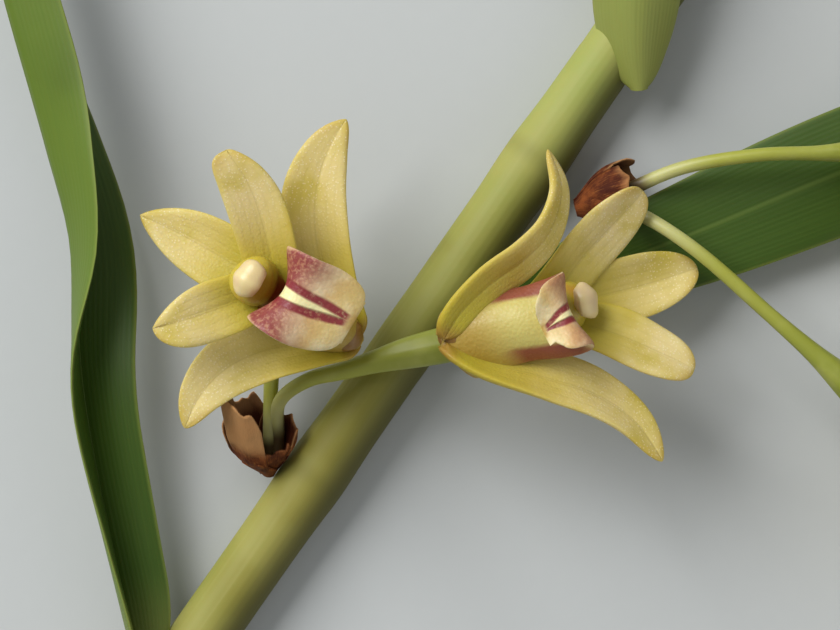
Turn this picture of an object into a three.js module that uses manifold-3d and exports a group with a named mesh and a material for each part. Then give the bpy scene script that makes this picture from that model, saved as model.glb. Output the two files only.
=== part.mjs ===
// A leafy stem of Dendrobium salaccense with four blooms, lying as cut on a flat surface.
// Everything is drawn as it is seen from straight above: u to the right, v up, z up from the
// surface, in millimetres. The last group turns the drawing so that the cane lies along X.
import * as THREE from "three";
import Module from "manifold-3d";

const wasm = await Module();
wasm.setup();

// Cane
const CANE_LEAN = THREE.MathUtils.degToRad(55);
const CANE_RADIUS = 1.78;
const CANE_START = -57;
const CANE_END = 74;
const CANE_TAPER = 0.35;
const CANE_SIDES = 12;
const CANE_FLAT = 0.1;
const INTERNODE = 21.9;
const FIRST_NODE = -54.9;
const NODE_COUNT = 6;
const NODE_SWELL = 0.12;
const NODE_SPREAD = 2.4;
const SHEATH_STEP = 0.02;
const SHEATH_FLARE = 5;
const SHEATH_EDGE = 0.15;
const MID_INTERNODE = 13.5;

// Leaves leave the cane this far above their node
const BLADE_ABOVE_NODE = 6.9;
const LEAF_THICKNESS = 0.62;
const LEAF_WIDTH = 7.2;

// Blooms
const TEPAL_THICKNESS = 0.62;
const SEPAL_WIDTH = 3.9;
const PETAL_WIDTH = 3.3;
const COLUMN_LENGTH = 2.5;
const FOOT_END = new THREE.Vector3(0, -5.3, -3.7);
const PEDICEL_RADIUS = 0.42;

// Papery bracts round the flower stalks
const BRACT_WALL = 0.6;
const BRACT_SIDES = 12;

// Clearance between two pieces that touch on the real stem
const GAP = 0.1;

// A blade keeps its width longer past its widest place, the larger FULLNESS is. Its rings draw
// together toward its tip by the power RING_BIAS. MITRE limits how far a fold line is moved out.
const FULLNESS = 2.2;
const RING_BIAS = 1.4;
const MITRE = 3;

const up = new THREE.Vector3(0, 0, 1);
const point = (values) => new THREE.Vector3(...values);

// Reads a list of values, given at even steps, at a share t of the way, smoothly
function along(values, t) {
  if (values.length === 1) return values[0];
  const last = values.length - 1;
  const at = Math.min(Math.max(t, 0), 1) * last;
  const i = Math.min(Math.floor(at), last - 1);
  const f = at - i;
  const a = values[Math.max(i - 1, 0)];
  const b = values[i];
  const c = values[i + 1];
  const d = values[Math.min(i + 2, last)];
  const bend = 2 * a - 5 * b + 4 * c - d;
  const twist = 3 * b - a - 3 * c + d;
  return 0.5 * (2 * b + (c - a) * f + bend * f * f + twist * f * f * f);
}

// Joins rings of points into one closed skin, with a strip across each end.
// An edge is split the same way on the two faces of a blade, so that they stay apart.
function loft(rings, isLowerFace = () => false) {
  const count = rings[0].length;
  const positions = rings.flat().flatMap((p) => [p.x, p.y, p.z]);
  const index = [];
  const quad = (a, b, c, d, other) => {
    if (other) index.push(a, b, d, b, c, d);
    else index.push(a, b, c, a, c, d);
  };
  for (let i = 0; i < rings.length - 1; i += 1) {
    for (let k = 0; k < count; k += 1) {
      const a = i * count + k;
      const b = i * count + ((k + 1) % count);
      quad(a, b, b + count, a + count, isLowerFace(k));
    }
  }
  const end = (rings.length - 1) * count;
  for (let k = 0; k < count / 2 - 1; k += 1) {
    const far = count - 1 - k;
    quad(k, far, far - 1, k + 1, false);
    quad(end + k, end + k + 1, end + far - 1, end + far, false);
  }
  const geometry = new THREE.BufferGeometry();
  geometry.setAttribute("position", new THREE.Float32BufferAttribute(positions, 3));
  geometry.setIndex(index);
  return geometry;
}

// The share of its full width that a blade has, a share t of the way along it. It starts at
// base, is widest at the share widest, and ends round (tip 0.5) or drawn out (tip 1 and more).
function outline({ base, widest, tip, end = 0.1 }, t) {
  if (t < widest) return base + (1 - base) * Math.sin((Math.PI / 2) * (t / widest));
  const past = (t - widest) / (1 - widest);
  return Math.max((1 - past ** FULLNESS) ** tip, end);
}

// A blade along a spine. It looks toward faces, or turns degrees to the right of straight up,
// or it keeps the given side direction. left and right change the outline of one half, skew
// moves the blade sideways.
// A cup is the sine of the angle to which its edges rise; ridge 1 folds it in a V, 2 in a U.
function blade(shape, grow = 0) {
  const { spine, width, form, cups, side, ridge = 2 } = shape;
  const { thickness = TEPAL_THICKNESS, rings = 8, across = 4, floor = null } = shape;
  const { skew = [0] } = shape;
  const curve = new THREE.CatmullRomCurve3(spine.map(point), false, "centripetal");
  const sections = [];
  for (let i = 0; i <= rings; i += 1) {
    const t = 1 - (1 - i / rings) ** RING_BIAS;
    const centre = curve.getPointAt(t);
    const forward = curve.getTangentAt(t);
    const across3 = new THREE.Vector3();
    if (side) across3.copy(point(side));
    else across3.crossVectors(forward, faceAt(shape, forward, t)).normalize();
    const normal = new THREE.Vector3().crossVectors(across3, forward).normalize();
    const halves = [shape.left, shape.right].map(
      (own) => (width * outline({ ...form, ...own }, t)) / 2 + grow,
    );
    const cup = along(cups, t);
    const spread = Math.sqrt(1 - cup * cup);
    const stretch = (i === 0 ? -grow : 0) + (i === rings ? grow : 0);
    const top = [];
    const bottom = [];
    for (let j = 0; j <= across; j += 1) {
      const s = (2 * j) / across - 1;
      const half = s < 0 ? halves[0] : halves[1];
      const rise = cup * half * Math.abs(s) ** ridge;
      const slope = (cup * ridge * Math.sign(s) * Math.abs(s) ** (ridge - 1)) / spread;
      const mitre = s === 0 && ridge === 1 ? Math.min(1 / spread, MITRE) : 1;
      const outward = normal.clone().addScaledVector(across3, -slope).normalize();
      outward.multiplyScalar((thickness / 2 + grow) * mitre);
      const middle = centre.clone().addScaledVector(forward, stretch);
      middle.addScaledVector(across3, half * s * spread + along(skew, t));
      middle.addScaledVector(normal, rise);
      top.push(middle.clone().add(outward));
      bottom.push(middle.clone().sub(outward));
    }
    sections.push([...top, ...bottom.reverse()]);
  }
  if (floor !== null) {
    for (const p of sections.flat()) p.z = Math.max(p.z, floor - grow);
  }
  return loft(sections, (k) => k > across && k < 2 * across + 1);
}

// The direction a blade's face looks to, a share t of the way along it
function faceAt({ faces, turns }, forward, t) {
  if (turns) {
    const sideways = new THREE.Vector3().crossVectors(forward, up).normalize();
    const level = new THREE.Vector3().crossVectors(sideways, forward);
    const turn = THREE.MathUtils.degToRad(along(turns, t));
    return level.multiplyScalar(Math.cos(turn)).addScaledVector(sideways, Math.sin(turn));
  }
  return new THREE.Vector3(
    along(faces.map((f) => f[0]), t),
    along(faces.map((f) => f[1]), t),
    along(faces.map((f) => f[2]), t),
  ).normalize();
}

// A stalk with round or oval rings along a path
function stalk(shape, grow = 0) {
  const { path, radii, rings, sides = 8, flat = 1, start = [1, 0, 0] } = shape;
  const curve = new THREE.CatmullRomCurve3(path.map(point), false, "centripetal");
  const sections = [];
  const reference = point(start);
  for (let i = 0; i <= rings; i += 1) {
    const t = i / rings;
    const forward = curve.getTangentAt(t);
    const wide = reference.clone().addScaledVector(forward, -reference.dot(forward)).normalize();
    const thin = new THREE.Vector3().crossVectors(forward, wide);
    const centre = curve.getPointAt(t);
    centre.addScaledVector(forward, (i === 0 ? -grow : 0) + (i === rings ? grow : 0));
    const radius = along(radii, t) + grow;
    const ring = [];
    for (let k = 0; k < sides; k += 1) {
      const angle = ((k + 0.5) / sides) * 2 * Math.PI;
      const p = centre.clone().addScaledVector(wide, radius * Math.cos(angle));
      ring.push(p.addScaledVector(thin, radius * flat * Math.sin(angle)));
    }
    sections.push(ring);
  }
  return loft(sections);
}

// The point of the drawing that lies a distance along the cane, to its left side, and up
function onCane(distance, left, z) {
  const p = new THREE.Vector3(distance, left, z);
  return p.applyAxisAngle(up, CANE_LEAN).toArray();
}

function caneRadius(distance) {
  const rise = (distance - CANE_START) / (CANE_END - CANE_START);
  let radius = CANE_RADIUS - CANE_TAPER * rise ** 3;
  for (let n = 0; n < NODE_COUNT; n += 1) {
    const from = distance - (FIRST_NODE + n * INTERNODE);
    radius += NODE_SWELL * Math.exp(-((from / NODE_SPREAD) ** 2));
    const past = from - BLADE_ABOVE_NODE;
    if (past < 0 && past > -SHEATH_FLARE) radius += SHEATH_STEP * (1 + past / SHEATH_FLARE);
  }
  return radius;
}

// Where the cane's rings go: at its ends, round each node and at each sheath's edge
function caneStations() {
  const stations = [CANE_START, CANE_END];
  for (let n = 0; n < NODE_COUNT; n += 1) {
    const node = FIRST_NODE + n * INTERNODE;
    const steps = [-NODE_SPREAD, 0, NODE_SPREAD, BLADE_ABOVE_NODE - SHEATH_EDGE,
      BLADE_ABOVE_NODE + SHEATH_EDGE, MID_INTERNODE];
    stations.push(...steps.map((step) => node + step));
  }
  return stations.filter((s) => s >= CANE_START && s <= CANE_END).sort((a, b) => a - b);
}

// The cane rests on the surface along a narrow flat
function cane(grow = 0) {
  const sections = caneStations().map((distance, i, all) => {
    const radius = caneRadius(distance) + grow;
    const end = (i === 0 ? -grow : 0) + (i === all.length - 1 ? grow : 0);
    const ring = [];
    for (let k = 0; k < CANE_SIDES; k += 1) {
      const angle = ((k + 0.5) / CANE_SIDES) * 2 * Math.PI;
      const z = CANE_RADIUS - CANE_FLAT + radius * Math.sin(angle);
      const p = onCane(distance + end, radius * Math.cos(angle), Math.max(z, -grow));
      ring.push(point(p));
    }
    return ring;
  });
  return loft(sections);
}

// A cup of papery bracts with a torn rim: outer wall up to the rim, then down into the hollow
function bracts(shape, grow = 0) {
  const { root, mouth, flat, outer, torn, depth } = shape;
  const base = point(root);
  const axis = point(mouth).sub(base);
  const wide = new THREE.Vector3().crossVectors(axis, up).normalize();
  const thin = new THREE.Vector3().crossVectors(axis, wide).normalize();
  const ringAt = (share, radius, tear) => Array.from({ length: BRACT_SIDES }, (_, k) => {
    const angle = ((k + 0.5) / BRACT_SIDES) * 2 * Math.PI;
    const reach = share + tear * torn[k % torn.length];
    const p = base.clone().addScaledVector(axis, reach);
    p.addScaledVector(wide, radius * Math.cos(angle));
    p.addScaledVector(thin, radius * flat * Math.sin(angle));
    return new THREE.Vector3(p.x, p.y, Math.max(p.z, -grow));
  });
  const sections = outer.map((radius, i) => {
    const share = i / (outer.length - 1);
    return ringAt(share, radius + grow, share ** 3);
  });
  const rim = outer.at(-1) - BRACT_WALL;
  sections.push(ringAt(1, rim - grow, 1));
  sections.push(ringAt(1 - depth / 2, rim * 0.92 - grow, 0.2));
  sections.push(ringAt(1 - depth, rim * 0.72 - grow, 0));
  return loft(sections);
}

// A bloom has axes of its own: x to its right, y toward its dorsal sepal, z out of its face.
// front is the heading in degrees that its face leans to and its dorsal sepal points to, tilt
// how far it leans, centre the foot of its column.
function bloomAxes({ centre, front, tilt }) {
  const turn = THREE.MathUtils.degToRad(front);
  const lean = THREE.MathUtils.degToRad(tilt);
  const outward = new THREE.Vector3(Math.sin(lean) * Math.cos(turn),
    Math.sin(lean) * Math.sin(turn), Math.cos(lean));
  const dorsal = new THREE.Vector3(Math.cos(lean) * Math.cos(turn),
    Math.cos(lean) * Math.sin(turn), -Math.sin(lean));
  const right = new THREE.Vector3().crossVectors(dorsal, outward);
  return new THREE.Matrix4().makeBasis(right, dorsal, outward).setPosition(point(centre));
}

// The column stands out of the face; its foot runs back to the chin
function column(grow) {
  const { x, y, z } = FOOT_END;
  return stalk({
    path: [[x, y, z], [0, y * 0.72, z * 0.76], [0, -1.4, -1.2], [0, -0.1, 0.1],
      [0, 0, COLUMN_LENGTH * 0.6], [0, -0.25, COLUMN_LENGTH]],
    radii: [0.5, 1.0, 0.85, 0.8, 1.1, 1.3, 1.05],
    rings: 9,
    sides: 8,
    flat: 0.85,
  }, grow);
}

function antherCap(grow) {
  const z = COLUMN_LENGTH;
  return stalk({
    path: [[0, -0.95, z + 0.1], [0, -0.6, z + 0.35], [0, -0.05, z + 0.35], [0, 0.3, z + 0.05]],
    radii: [0.45, 0.8, 0.9, 0.8, 0.4],
    rings: 6,
    sides: 8,
    flat: 0.74,
  }, grow);
}

// The lip is a trough from the chin, folded back on itself below the column's tip
function lip({ apex, bend, ...shape }, grow) {
  const { x, y, z } = FOOT_END;
  return blade({
    ...shape,
    spine: [[x, y + 0.2, z + 0.1], [0, -4.3, -1.6], [bend[0] / 2, -3.5, 0.6],
      [bend[0], -2.8, bend[2] - 1.2], [bend[0], -2.7, bend[2] - 0.4], bend,
      apex.map((v, i) => (v + bend[i]) / 2), apex],
    form: LIP,
    rings: 13,
  }, grow);
}

// How the width of each kind of blade runs from its base to its tip
const SEPAL = { base: 1, widest: 0.28, tip: 0.8 };
const LATERAL = { base: 0.72, widest: 0.42, tip: 0.7 };
const PETAL = { base: 0.9, widest: 0.42, tip: 0.45, end: 0.2 };
const LIP = { base: 0.8, widest: 0.62, tip: 0.2, end: 0.5 };

// The bloom that looks up at the viewer, drawn round the foot of its column
const OPEN_BLOOM = {
  front: 149,
  tilt: 18,
  lip: {
    apex: [0.85, -6.35, 2.2], bend: [0.4, -3.3, 3.5], width: 5.0, side: [-1, 0, 0],
    cups: [0.75, 0.72, 0.68, 0.62, 0.6, 0.35, 0.05, -0.1],
  },
  dorsal_sepal: {
    spine: [[-0.2, 0.3, -0.6], [-2.6, 1.75, -1.1], [-4.9, 3.0, -1.5], [-6.75, 3.85, -1.5]],
    faces: [[-0.1, 0, 1]], width: SEPAL_WIDTH, form: SEPAL, cups: [0.3, 0.35, 0.3, 0.2],
  },
  petal_right: {
    spine: [[0.8, -0.3, -0.4], [0.1, 3.3, 0.7], [-0.6, 5.5, 1.4], [-1.35, 7.3, 2.0]],
    faces: [[-0.1, -0.2, 1]], width: PETAL_WIDTH, form: PETAL, cups: [0.3, 0.3, 0.2, 0.3],
    left: { widest: 0.6, tip: 0.26 }, right: { widest: 0.35, tip: 0.62 },
    skew: [0, 0, 0, 0, 0, -0.12, -0.4],
  },
  petal_left: {
    spine: [[-0.3, -0.5, 0.1], [-2.3, -1.25, 0.7], [-4.1, -1.85, 1.1], [-5.75, -2.3, 1.3]],
    faces: [[0.2, 0, 1]], width: PETAL_WIDTH, form: PETAL, cups: [0.3, 0.3, 0.15, 0.25],
    left: { widest: 0.5, tip: 0.45 }, right: { widest: 0.35, tip: 0.85 },
  },
  lateral_sepal_right: {
    spine: [[4.9, -2.8, -2.6], [3.7, -0.4, -2.2], [2.9, 2.4, -1.6], [2.85, 5.1, -1.2],
      [3.5, 7.3, -0.9], [4.5, 9.0, -0.7]],
    faces: [[-0.5, 0, 0.9], [-0.1, 0, 1], [0, 0, 1]], left: { base: 1.5, widest: 0.5 },
    width: SEPAL_WIDTH, form: LATERAL, cups: [0.35, 0.3, 0.25, 0.2], rings: 9,
  },
  lateral_sepal_left: {
    spine: [[5.1, -3.0, -2.6], [2.6, -3.2, -2.4], [0.0, -3.6, -2.1], [-2.0, -4.5, -1.8],
      [-3.4, -5.9, -1.5], [-4.3, -7.75, -1.3]],
    faces: [[-0.3, 0.5, 0.9], [0, 0.2, 1], [0, 0, 1]],
    width: SEPAL_WIDTH * 0.95, form: LATERAL, cups: [0.35, 0.3, 0.25, 0.25], rings: 9,
  },
};

// The bloom that looks to the side, seen from its chin
const SIDE_BLOOM = {
  front: 15,
  tilt: 57,
  lip: {
    apex: [1.0, -4.4, 1.9], bend: [0.45, -3.5, 3.0], width: 4.6, side: [-1, 0, -0.2],
    left: { base: 1.35, widest: 0.72, tip: 0.7, end: 0.4 },
    cups: [0.6, 0.55, 0.5, 0.5, 0.45, 0.3, 0.35, 0.45],
  },
  dorsal_sepal: {
    spine: [[1.0, 0.4, -0.9], [3.6, 1.0, -2.0], [5.9, 1.55, -2.4], [8.7, 2.4, -2.3]],
    faces: [[0.3, 0, 1], [0.1, 0, 1], [-0.3, 0, 1]],
    width: SEPAL_WIDTH, form: { base: 0.7, widest: 0.5, tip: 0.5 }, cups: [0.35, 0.4, 0.4, 0.35],
  },
  petal_left: {
    spine: [[0.0, 0.0, -0.5], [1.9, 2.9, -0.7], [3.45, 4.6, -0.7], [5.45, 6.65, -0.4]],
    faces: [[0.4, -0.3, 0.8]], width: PETAL_WIDTH, form: PETAL, cups: [0.3, 0.3, 0.15, 0.3],
    left: { base: 1.15, widest: 0.6, tip: 0.35 }, right: { widest: 0.55, tip: 0.4 },
  },
  petal_right: {
    spine: [[1.5, -0.6, 0.4], [4.0, -1.4, 0.8], [6.1, -2.3, 1.1], [8.1, -3.2, 1.2]],
    faces: [[0.3, 0.4, 0.9]], width: PETAL_WIDTH, form: PETAL, cups: [0.35, 0.3, 0.2, 0.3],
    left: { widest: 0.5, tip: 0.5 }, right: { widest: 0.6, tip: 0.35 },
  },
  lateral_sepal_left: {
    spine: [[-5.6, -1.5, 2.6], [-4.7, 0.0, 2.9], [-3.1, 1.6, 2.7], [-1.3, 2.9, 2.2],
      [0.1, 4.5, 1.6], [0.7, 6.6, 1.3], [0.15, 8.8, 1.2]],
    faces: [[0.1, -0.5, 0.9], [0.35, -0.45, 0.8], [0.7, -0.3, 0.65], [0.8, 0.1, 0.5]],
    left: { base: 0.5 }, right: { base: 0.55 },
    width: SEPAL_WIDTH * 0.66, form: LATERAL, cups: [0.3, 0.25, 0.2, 0.2], rings: 9,
  },
  lateral_sepal_right: {
    spine: [[-5.6, -1.8, 2.5], [-3.4, -2.9, 2.3], [0.0, -3.75, 1.9], [2.6, -4.6, 1.7],
      [4.7, -6.0, 1.8], [6.3, -8.1, 2.0]],
    faces: [[0.1, 0.8, 0.6], [0.2, 0.7, 0.7], [0.4, 0.5, 0.8], [0.3, 0.4, 0.9]],
    left: { base: 0.7 }, right: { base: 0.5 },
    width: SEPAL_WIDTH * 0.9, form: LATERAL, cups: [0.3, 0.25, 0.25, 0.25], rings: 9,
  },
};

// Each bloom: which of the two it is like, how far it is turned in the drawing, where the foot
// of its column is, and the way its stalk takes from the bracts to there
const BLOOMS = {
  bloom_1: {
    like: OPEN_BLOOM, turn: 0, centre: [-8.9, 1.6, 8.3],
    stalk: [[-8.9, -8.3, 2.1], [-8.9, -6.9, 2.3], [-8.8, -4.2, 2.6], [-8.6, -1.4, 3.2],
      [-8.5, 0.6, 4.9], [-8.75, 1.5, 7.9]],
    girth: [0.9, 0.9, 1, 1.1, 1.9, 2.5, 2.4],
  },
  bloom_2: {
    like: SIDE_BLOOM, turn: 0, centre: [6.4, 0.2, 5.9],
    stalk: [[-8.5, -8.3, 2.1], [-8.4, -6.9, 2.3], [-8.3, -4.9, 3.0], [-6.7, -3.65, 4.0],
      [-4.7, -3.1, 4.6], [-1.5, -2.2, 5.2], [2.3, -1.3, 5.2], [6.0, 0.1, 5.6]],
    girth: [0.9, 0.9, 0.95, 1.1, 1.5, 2.2, 2.5, 2.4, 2.2],
  },
  bloom_3: {
    like: OPEN_BLOOM, turn: 178, centre: [28.3, 9.4, 8.4],
    stalk: [[10.8, 6.8, 2.1], [14.2, 8.2, 3.6], [18.5, 8.9, 4.4], [22.4, 9.0, 4.6],
      [26.4, 9.3, 5.0], [28.1, 9.5, 8.0]],
    girth: [1, 0.9, 0.9, 0.9, 1, 1.6, 2.4, 2.4],
  },
  bloom_4: {
    like: SIDE_BLOOM, turn: -55, centre: [28.0, -8.0, 5.9],
    stalk: [[10.8, 6.2, 2.4], [12.6, 5.2, 4.2], [15.0, 3.5, 4.8], [19.0, 0.0, 4.7],
      [22.2, -2.8, 4.7], [25.0, -5.4, 5.0], [27.8, -7.9, 5.6]],
    girth: [1, 0.9, 0.9, 0.95, 1, 1.3, 2.1, 2.5, 2.3],
  },
};

const TEPALS = ["lateral_sepal_left", "lateral_sepal_right", "dorsal_sepal",
  "petal_left", "petal_right"];

// The pieces of one bloom, in the order in which they make room for each other
function bloomPieces(name, bloom) {
  const turned = new THREE.Matrix4().makeRotationZ(THREE.MathUtils.degToRad(bloom.turn));
  turned.setPosition(point(bloom.centre));
  const own = bloomAxes({ ...bloom.like, centre: [0, 0, 0] }).premultiply(turned);
  const radii = bloom.girth.map((share) => share * PEDICEL_RADIUS);
  const pieces = [
    { name: `${name}_column`, colour: "column", make: (grow) => column(grow).applyMatrix4(own) },
    {
      name: `${name}_pedicel`, colour: "pedicel",
      make: (grow) => stalk({ path: bloom.stalk, radii, rings: 11, start: [0, 0, 1] }, grow),
    },
    { name: `${name}_anther_cap`, colour: "cap", make: (grow) => antherCap(grow).applyMatrix4(own) },
    {
      name: `${name}_lip`, colour: "lip",
      make: (grow) => lip(bloom.like.lip, grow).applyMatrix4(own),
    },
  ];
  for (const tepal of TEPALS) {
    pieces.push({
      name: `${name}_${tepal}`, colour: "tepal",
      make: (grow) => blade(bloom.like[tepal], grow).applyMatrix4(turned),
    });
  }
  return pieces;
}

const LEAF = { base: 0.35, widest: 0.38, tip: 1.05, end: 0.12 };

// Leaves: the way each takes from the cane, how far its face is turned to the right, and how
// steeply it is folded along its middle
const LEAVES = {
  leaf_low: {
    spine: [onCane(-48, -1.3, 1.9), [-22, -37.6, 3.6], [-3, -35.5, 5.2], [20, -33, 3.6],
      [43, -35, 0.29]],
    turns: [-25, -8, 5, 0],
    folds: [0.7, 0.45, 0.35, 0.3, 0.3],
  },
  leaf_a: {
    spine: [onCane(-26.2, 1.3, 1.9), [-16.8, -17.7, 2.2], [-18.6, -9.3, 2.6], [-19.6, -2.6, 3.0],
      [-19.85, 4.1, 3.4], [-21.1, 9.3, 3.7], [-23.4, 17.7, 4.2], [-28.5, 37, 3.8],
      [-36, 60, 0.29]],
    turns: [50, 44, 38, 68, 98, 104, 90, 60, 30, 10, 0],
    folds: [0.8, 0.8, 0.8, 0.8, 0.8, 0.8, 0.7, 0.5, 0.4, 0.35, 0.3],
    base: 0.75,
  },
  leaf_b: {
    spine: [onCane(-1.6, -1.3, 1.4), [7, 1.4, 1.6], [15.5, 4.8, 2.0], [23.5, 8.1, 2.5],
      [40, 14.2, 3.6], [58, 19, 3.6], [80, 20.5, 0.29]],
    turns: [8, 0, 0, 0, 0],
    folds: [0.4, 0, -0.35, -0.35, -0.25, 0],
  },
  leaf_c: {
    spine: [[11.9, 12.6, 3.3], [11.6, 15.1, 4.2], [11.6, 18.5, 5.2], [12.0, 27, 6.8],
      [11.5, 44, 8.0], [8, 68, 5.6], [3, 90, 0.29]],
    turns: [168, 172, 180, 180, 180],
    folds: [0.75, 0.5, 0.4, 0.3, 0.3],
    base: 0.9,
    widest: 0.3,
    right: { base: 1.15 },
  },
  leaf_d: {
    spine: [onCane(39.6, -1.3, 1.9), [32.5, 34, 3.0], [46, 40, 5.0], [64, 45, 4.4],
      [84, 44, 0.29]],
    turns: [25, 8, 0, 0],
    folds: [0.7, 0.45, 0.35, 0.3, 0.3],
  },
  leaf_e: {
    spine: [onCane(61.5, 1.2, 1.9), [35, 59, 3.0], [34, 72, 5.4], [29, 89, 4.6], [19, 106, 0.29]],
    turns: [28, 10, 0, 0],
    folds: [0.7, 0.45, 0.35, 0.3, 0.3],
  },
  leaf_tip: {
    spine: [onCane(73.4, 0, 2.2), [49, 67, 3.4], [59, 80, 4.2], [70, 92, 0.29]],
    turns: [0, 0],
    folds: [0.7, 0.45, 0.35, 0.3],
  },
};
const LEAF_SIZES = {
  leaf_low: 1, leaf_a: 1, leaf_b: 1.02, leaf_c: 0.95, leaf_d: 0.92, leaf_e: 0.85, leaf_tip: 0.62,
};

const formOf = ({ base = LEAF.base, widest = LEAF.widest }) => ({ base, widest });

const leafPiece = (name) => ({
  name,
  colour: "leaf",
  make: (grow) => blade({
    ...LEAVES[name],
    width: LEAF_WIDTH * LEAF_SIZES[name],
    form: { ...LEAF, ...formOf(LEAVES[name]) },
    cups: LEAVES[name].folds,
    ridge: 1,
    thickness: LEAF_THICKNESS,
    rings: 14,
    floor: 0,
  }, grow),
});

const LEFT_BRACTS = {
  root: [-8.9, -8.9, 1.7], mouth: [-9.2, -6.1, 4.0], flat: 0.95,
  outer: [0.5, 0.95, 1.45, 1.85, 2.0, 2.1], torn: [0, 0.12, -0.05, 0.16, 0.05, -0.1], depth: 0.62,
};
const RIGHT_BRACTS = {
  root: [8.4, 6.1, 1.9], mouth: [11.8, 7.0, 2.35], flat: 0.88,
  outer: [0.5, 1.0, 1.5, 1.8, 1.9, 1.9], torn: [0.1, -0.08, 0.14, 0, 0.18, -0.05], depth: 0.62,
};

// Colour and roughness of each kind of piece
const COLOURS = {
  cane: [0x8f9148, 0.5],
  bract: [0x7a3f22, 0.75],
  leaf: [0x33520f, 0.45],
  pedicel: [0x9aa84a, 0.45],
  column: [0x8a8418, 0.45],
  cap: [0xe9dfae, 0.4],
  lip: [0xd9c08a, 0.45],
  tepal: [0xc9b23f, 0.45],
};

// A closed mesh with shared vertices as a solid, and back
function solid(geometry) {
  return new wasm.Manifold(new wasm.Mesh({
    numProp: 3,
    vertProperties: geometry.attributes.position.array,
    triVerts: new Uint32Array(geometry.index.array),
  }));
}

function geometryOf(made) {
  const { vertProperties, triVerts, numProp } = made.getMesh();
  const positions = new Float32Array((vertProperties.length / numProp) * 3);
  for (let i = 0; i < positions.length / 3; i += 1) {
    positions.set(vertProperties.subarray(i * numProp, i * numProp + 3), i * 3);
  }
  const geometry = new THREE.BufferGeometry();
  geometry.setAttribute("position", new THREE.BufferAttribute(positions, 3));
  geometry.setIndex(new THREE.BufferAttribute(triVerts, 1));
  return geometry;
}

function boxesMeet(a, b) {
  return a.min.every((low, i) => low < b.max[i] && b.min[i] < a.max[i]);
}

// Takes from a solid what lies within GAP of the pieces placed before it; the small scraps
// that this cuts off are dropped
function madeClear(made, placed) {
  let left = made;
  for (const other of placed) {
    if (boxesMeet(left.boundingBox(), other.boundingBox())) left = left.subtract(other);
  }
  const bodies = left.decompose().sort((a, b) => b.volume() - a.volume());
  return bodies[0];
}

const pieces = [
  { name: "cane", colour: "cane", make: cane },
  { name: "left_bracts", colour: "bract", make: (grow) => bracts(LEFT_BRACTS, grow) },
  { name: "right_bracts", colour: "bract", make: (grow) => bracts(RIGHT_BRACTS, grow) },
  ...Object.keys(LEAVES).map(leafPiece),
  ...Object.entries(BLOOMS).flatMap(([name, bloom]) => bloomPieces(name, bloom)),
];

const stem = new THREE.Group();
stem.rotation.z = -CANE_LEAN;
const placed = [];
for (const piece of pieces) {
  const [color, roughness] = COLOURS[piece.colour];
  const made = madeClear(solid(piece.make(0)), placed);
  const material = new THREE.MeshStandardMaterial({ color, roughness, metalness: 0 });
  const mesh = new THREE.Mesh(geometryOf(made), material);
  mesh.name = piece.name;
  stem.add(mesh);
  placed.push(solid(piece.make(GAP)));
}

export default stem;
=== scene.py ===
"""Dresses a leafy orchid stem that lies on a pale surface: cane, leaves, bracts and four blooms.

Forms are drawn in millimetres as they are seen from straight above, u to the right, v up and z
from the surface, and are then turned so that the cane lies along X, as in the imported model.
"""

import math

import bmesh
import bpy
import numpy as np
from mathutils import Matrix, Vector


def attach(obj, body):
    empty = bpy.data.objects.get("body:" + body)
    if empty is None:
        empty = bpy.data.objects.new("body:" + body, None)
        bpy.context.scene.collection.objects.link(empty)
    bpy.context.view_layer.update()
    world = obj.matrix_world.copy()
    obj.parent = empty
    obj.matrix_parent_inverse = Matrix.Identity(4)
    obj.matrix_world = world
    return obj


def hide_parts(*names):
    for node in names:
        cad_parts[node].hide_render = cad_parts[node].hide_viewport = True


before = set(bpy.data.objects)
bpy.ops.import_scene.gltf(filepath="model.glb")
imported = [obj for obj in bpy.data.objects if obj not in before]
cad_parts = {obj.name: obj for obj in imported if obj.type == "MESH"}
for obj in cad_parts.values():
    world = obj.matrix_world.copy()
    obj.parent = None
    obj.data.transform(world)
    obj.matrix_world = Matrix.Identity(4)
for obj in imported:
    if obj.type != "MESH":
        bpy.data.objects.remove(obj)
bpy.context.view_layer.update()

bl_info = {
    "name": "Orchid Stem",
    "version": (1, 0, 0),
    "blender": (4, 5, 0),
    "location": "View3D > Sidebar > Stem",
    "description": "Makes the pieces of a flowering orchid cane on a pale surface",
    "category": "Add Mesh",
}


def turned(degrees):
    """A turn round the upright axis."""
    a = math.radians(degrees)
    return np.array([[math.cos(a), -math.sin(a), 0], [math.sin(a), math.cos(a), 0], [0, 0, 1]])


MM = 0.001
LEAN = 55  # degrees from the drawing's u to the cane
TURN = turned(-LEAN)
UP = np.array([0.0, 0.0, 1.0])

# The cane, in millimetres along it or round it
CANE_START = -57
CANE_END = 74
INTERNODE = 21.9
FIRST_NODE = -54.9
SHEATH_EDGE = 6.9
SHEATH_FLARE = 5
EDGE_BLEND = 0.05
CANE_FLAT = 0.1
CANE_AXIS = 1.7
UNEVENNESS = 0.16
SWAYS = 90  # steps of the unevenness to a metre
NODE_FADE = 0.6  # the share of the ribs' depth that a node takes away
OVARY_STARTS, OVARY_FULL = 0.4, 1.0  # radii between which a stalk gets its grooves

# The outline of blades: how their ends close, as powers and shares of their length
FULLNESS = 2.2
ROUND_FOOT = 0.07
LEAST_FOOT = 0.04
LEAST_EDGE = 0.01
LEAST_TIP = 0.03
LEAST_KNOB = 0.05
TIP_POWER = 10
EDGE_POWER = 4
LIP_FOLD = 0.62

# The relief of blades: waves and a rolled rim that grow toward the edge, and a middle channel
WAVE_POWER = 3
WAVE_SLANT = 0.17
WAVE_FADE = 0.5
ROLL_POWER = 8
CHANNEL_HALF = 0.12
RELIEF_FADE = 0.4

# Closer points are joined, and thinner faces are taken out, in millimetres
WELD = 0.0005
SLIVER = 0.0002

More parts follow.
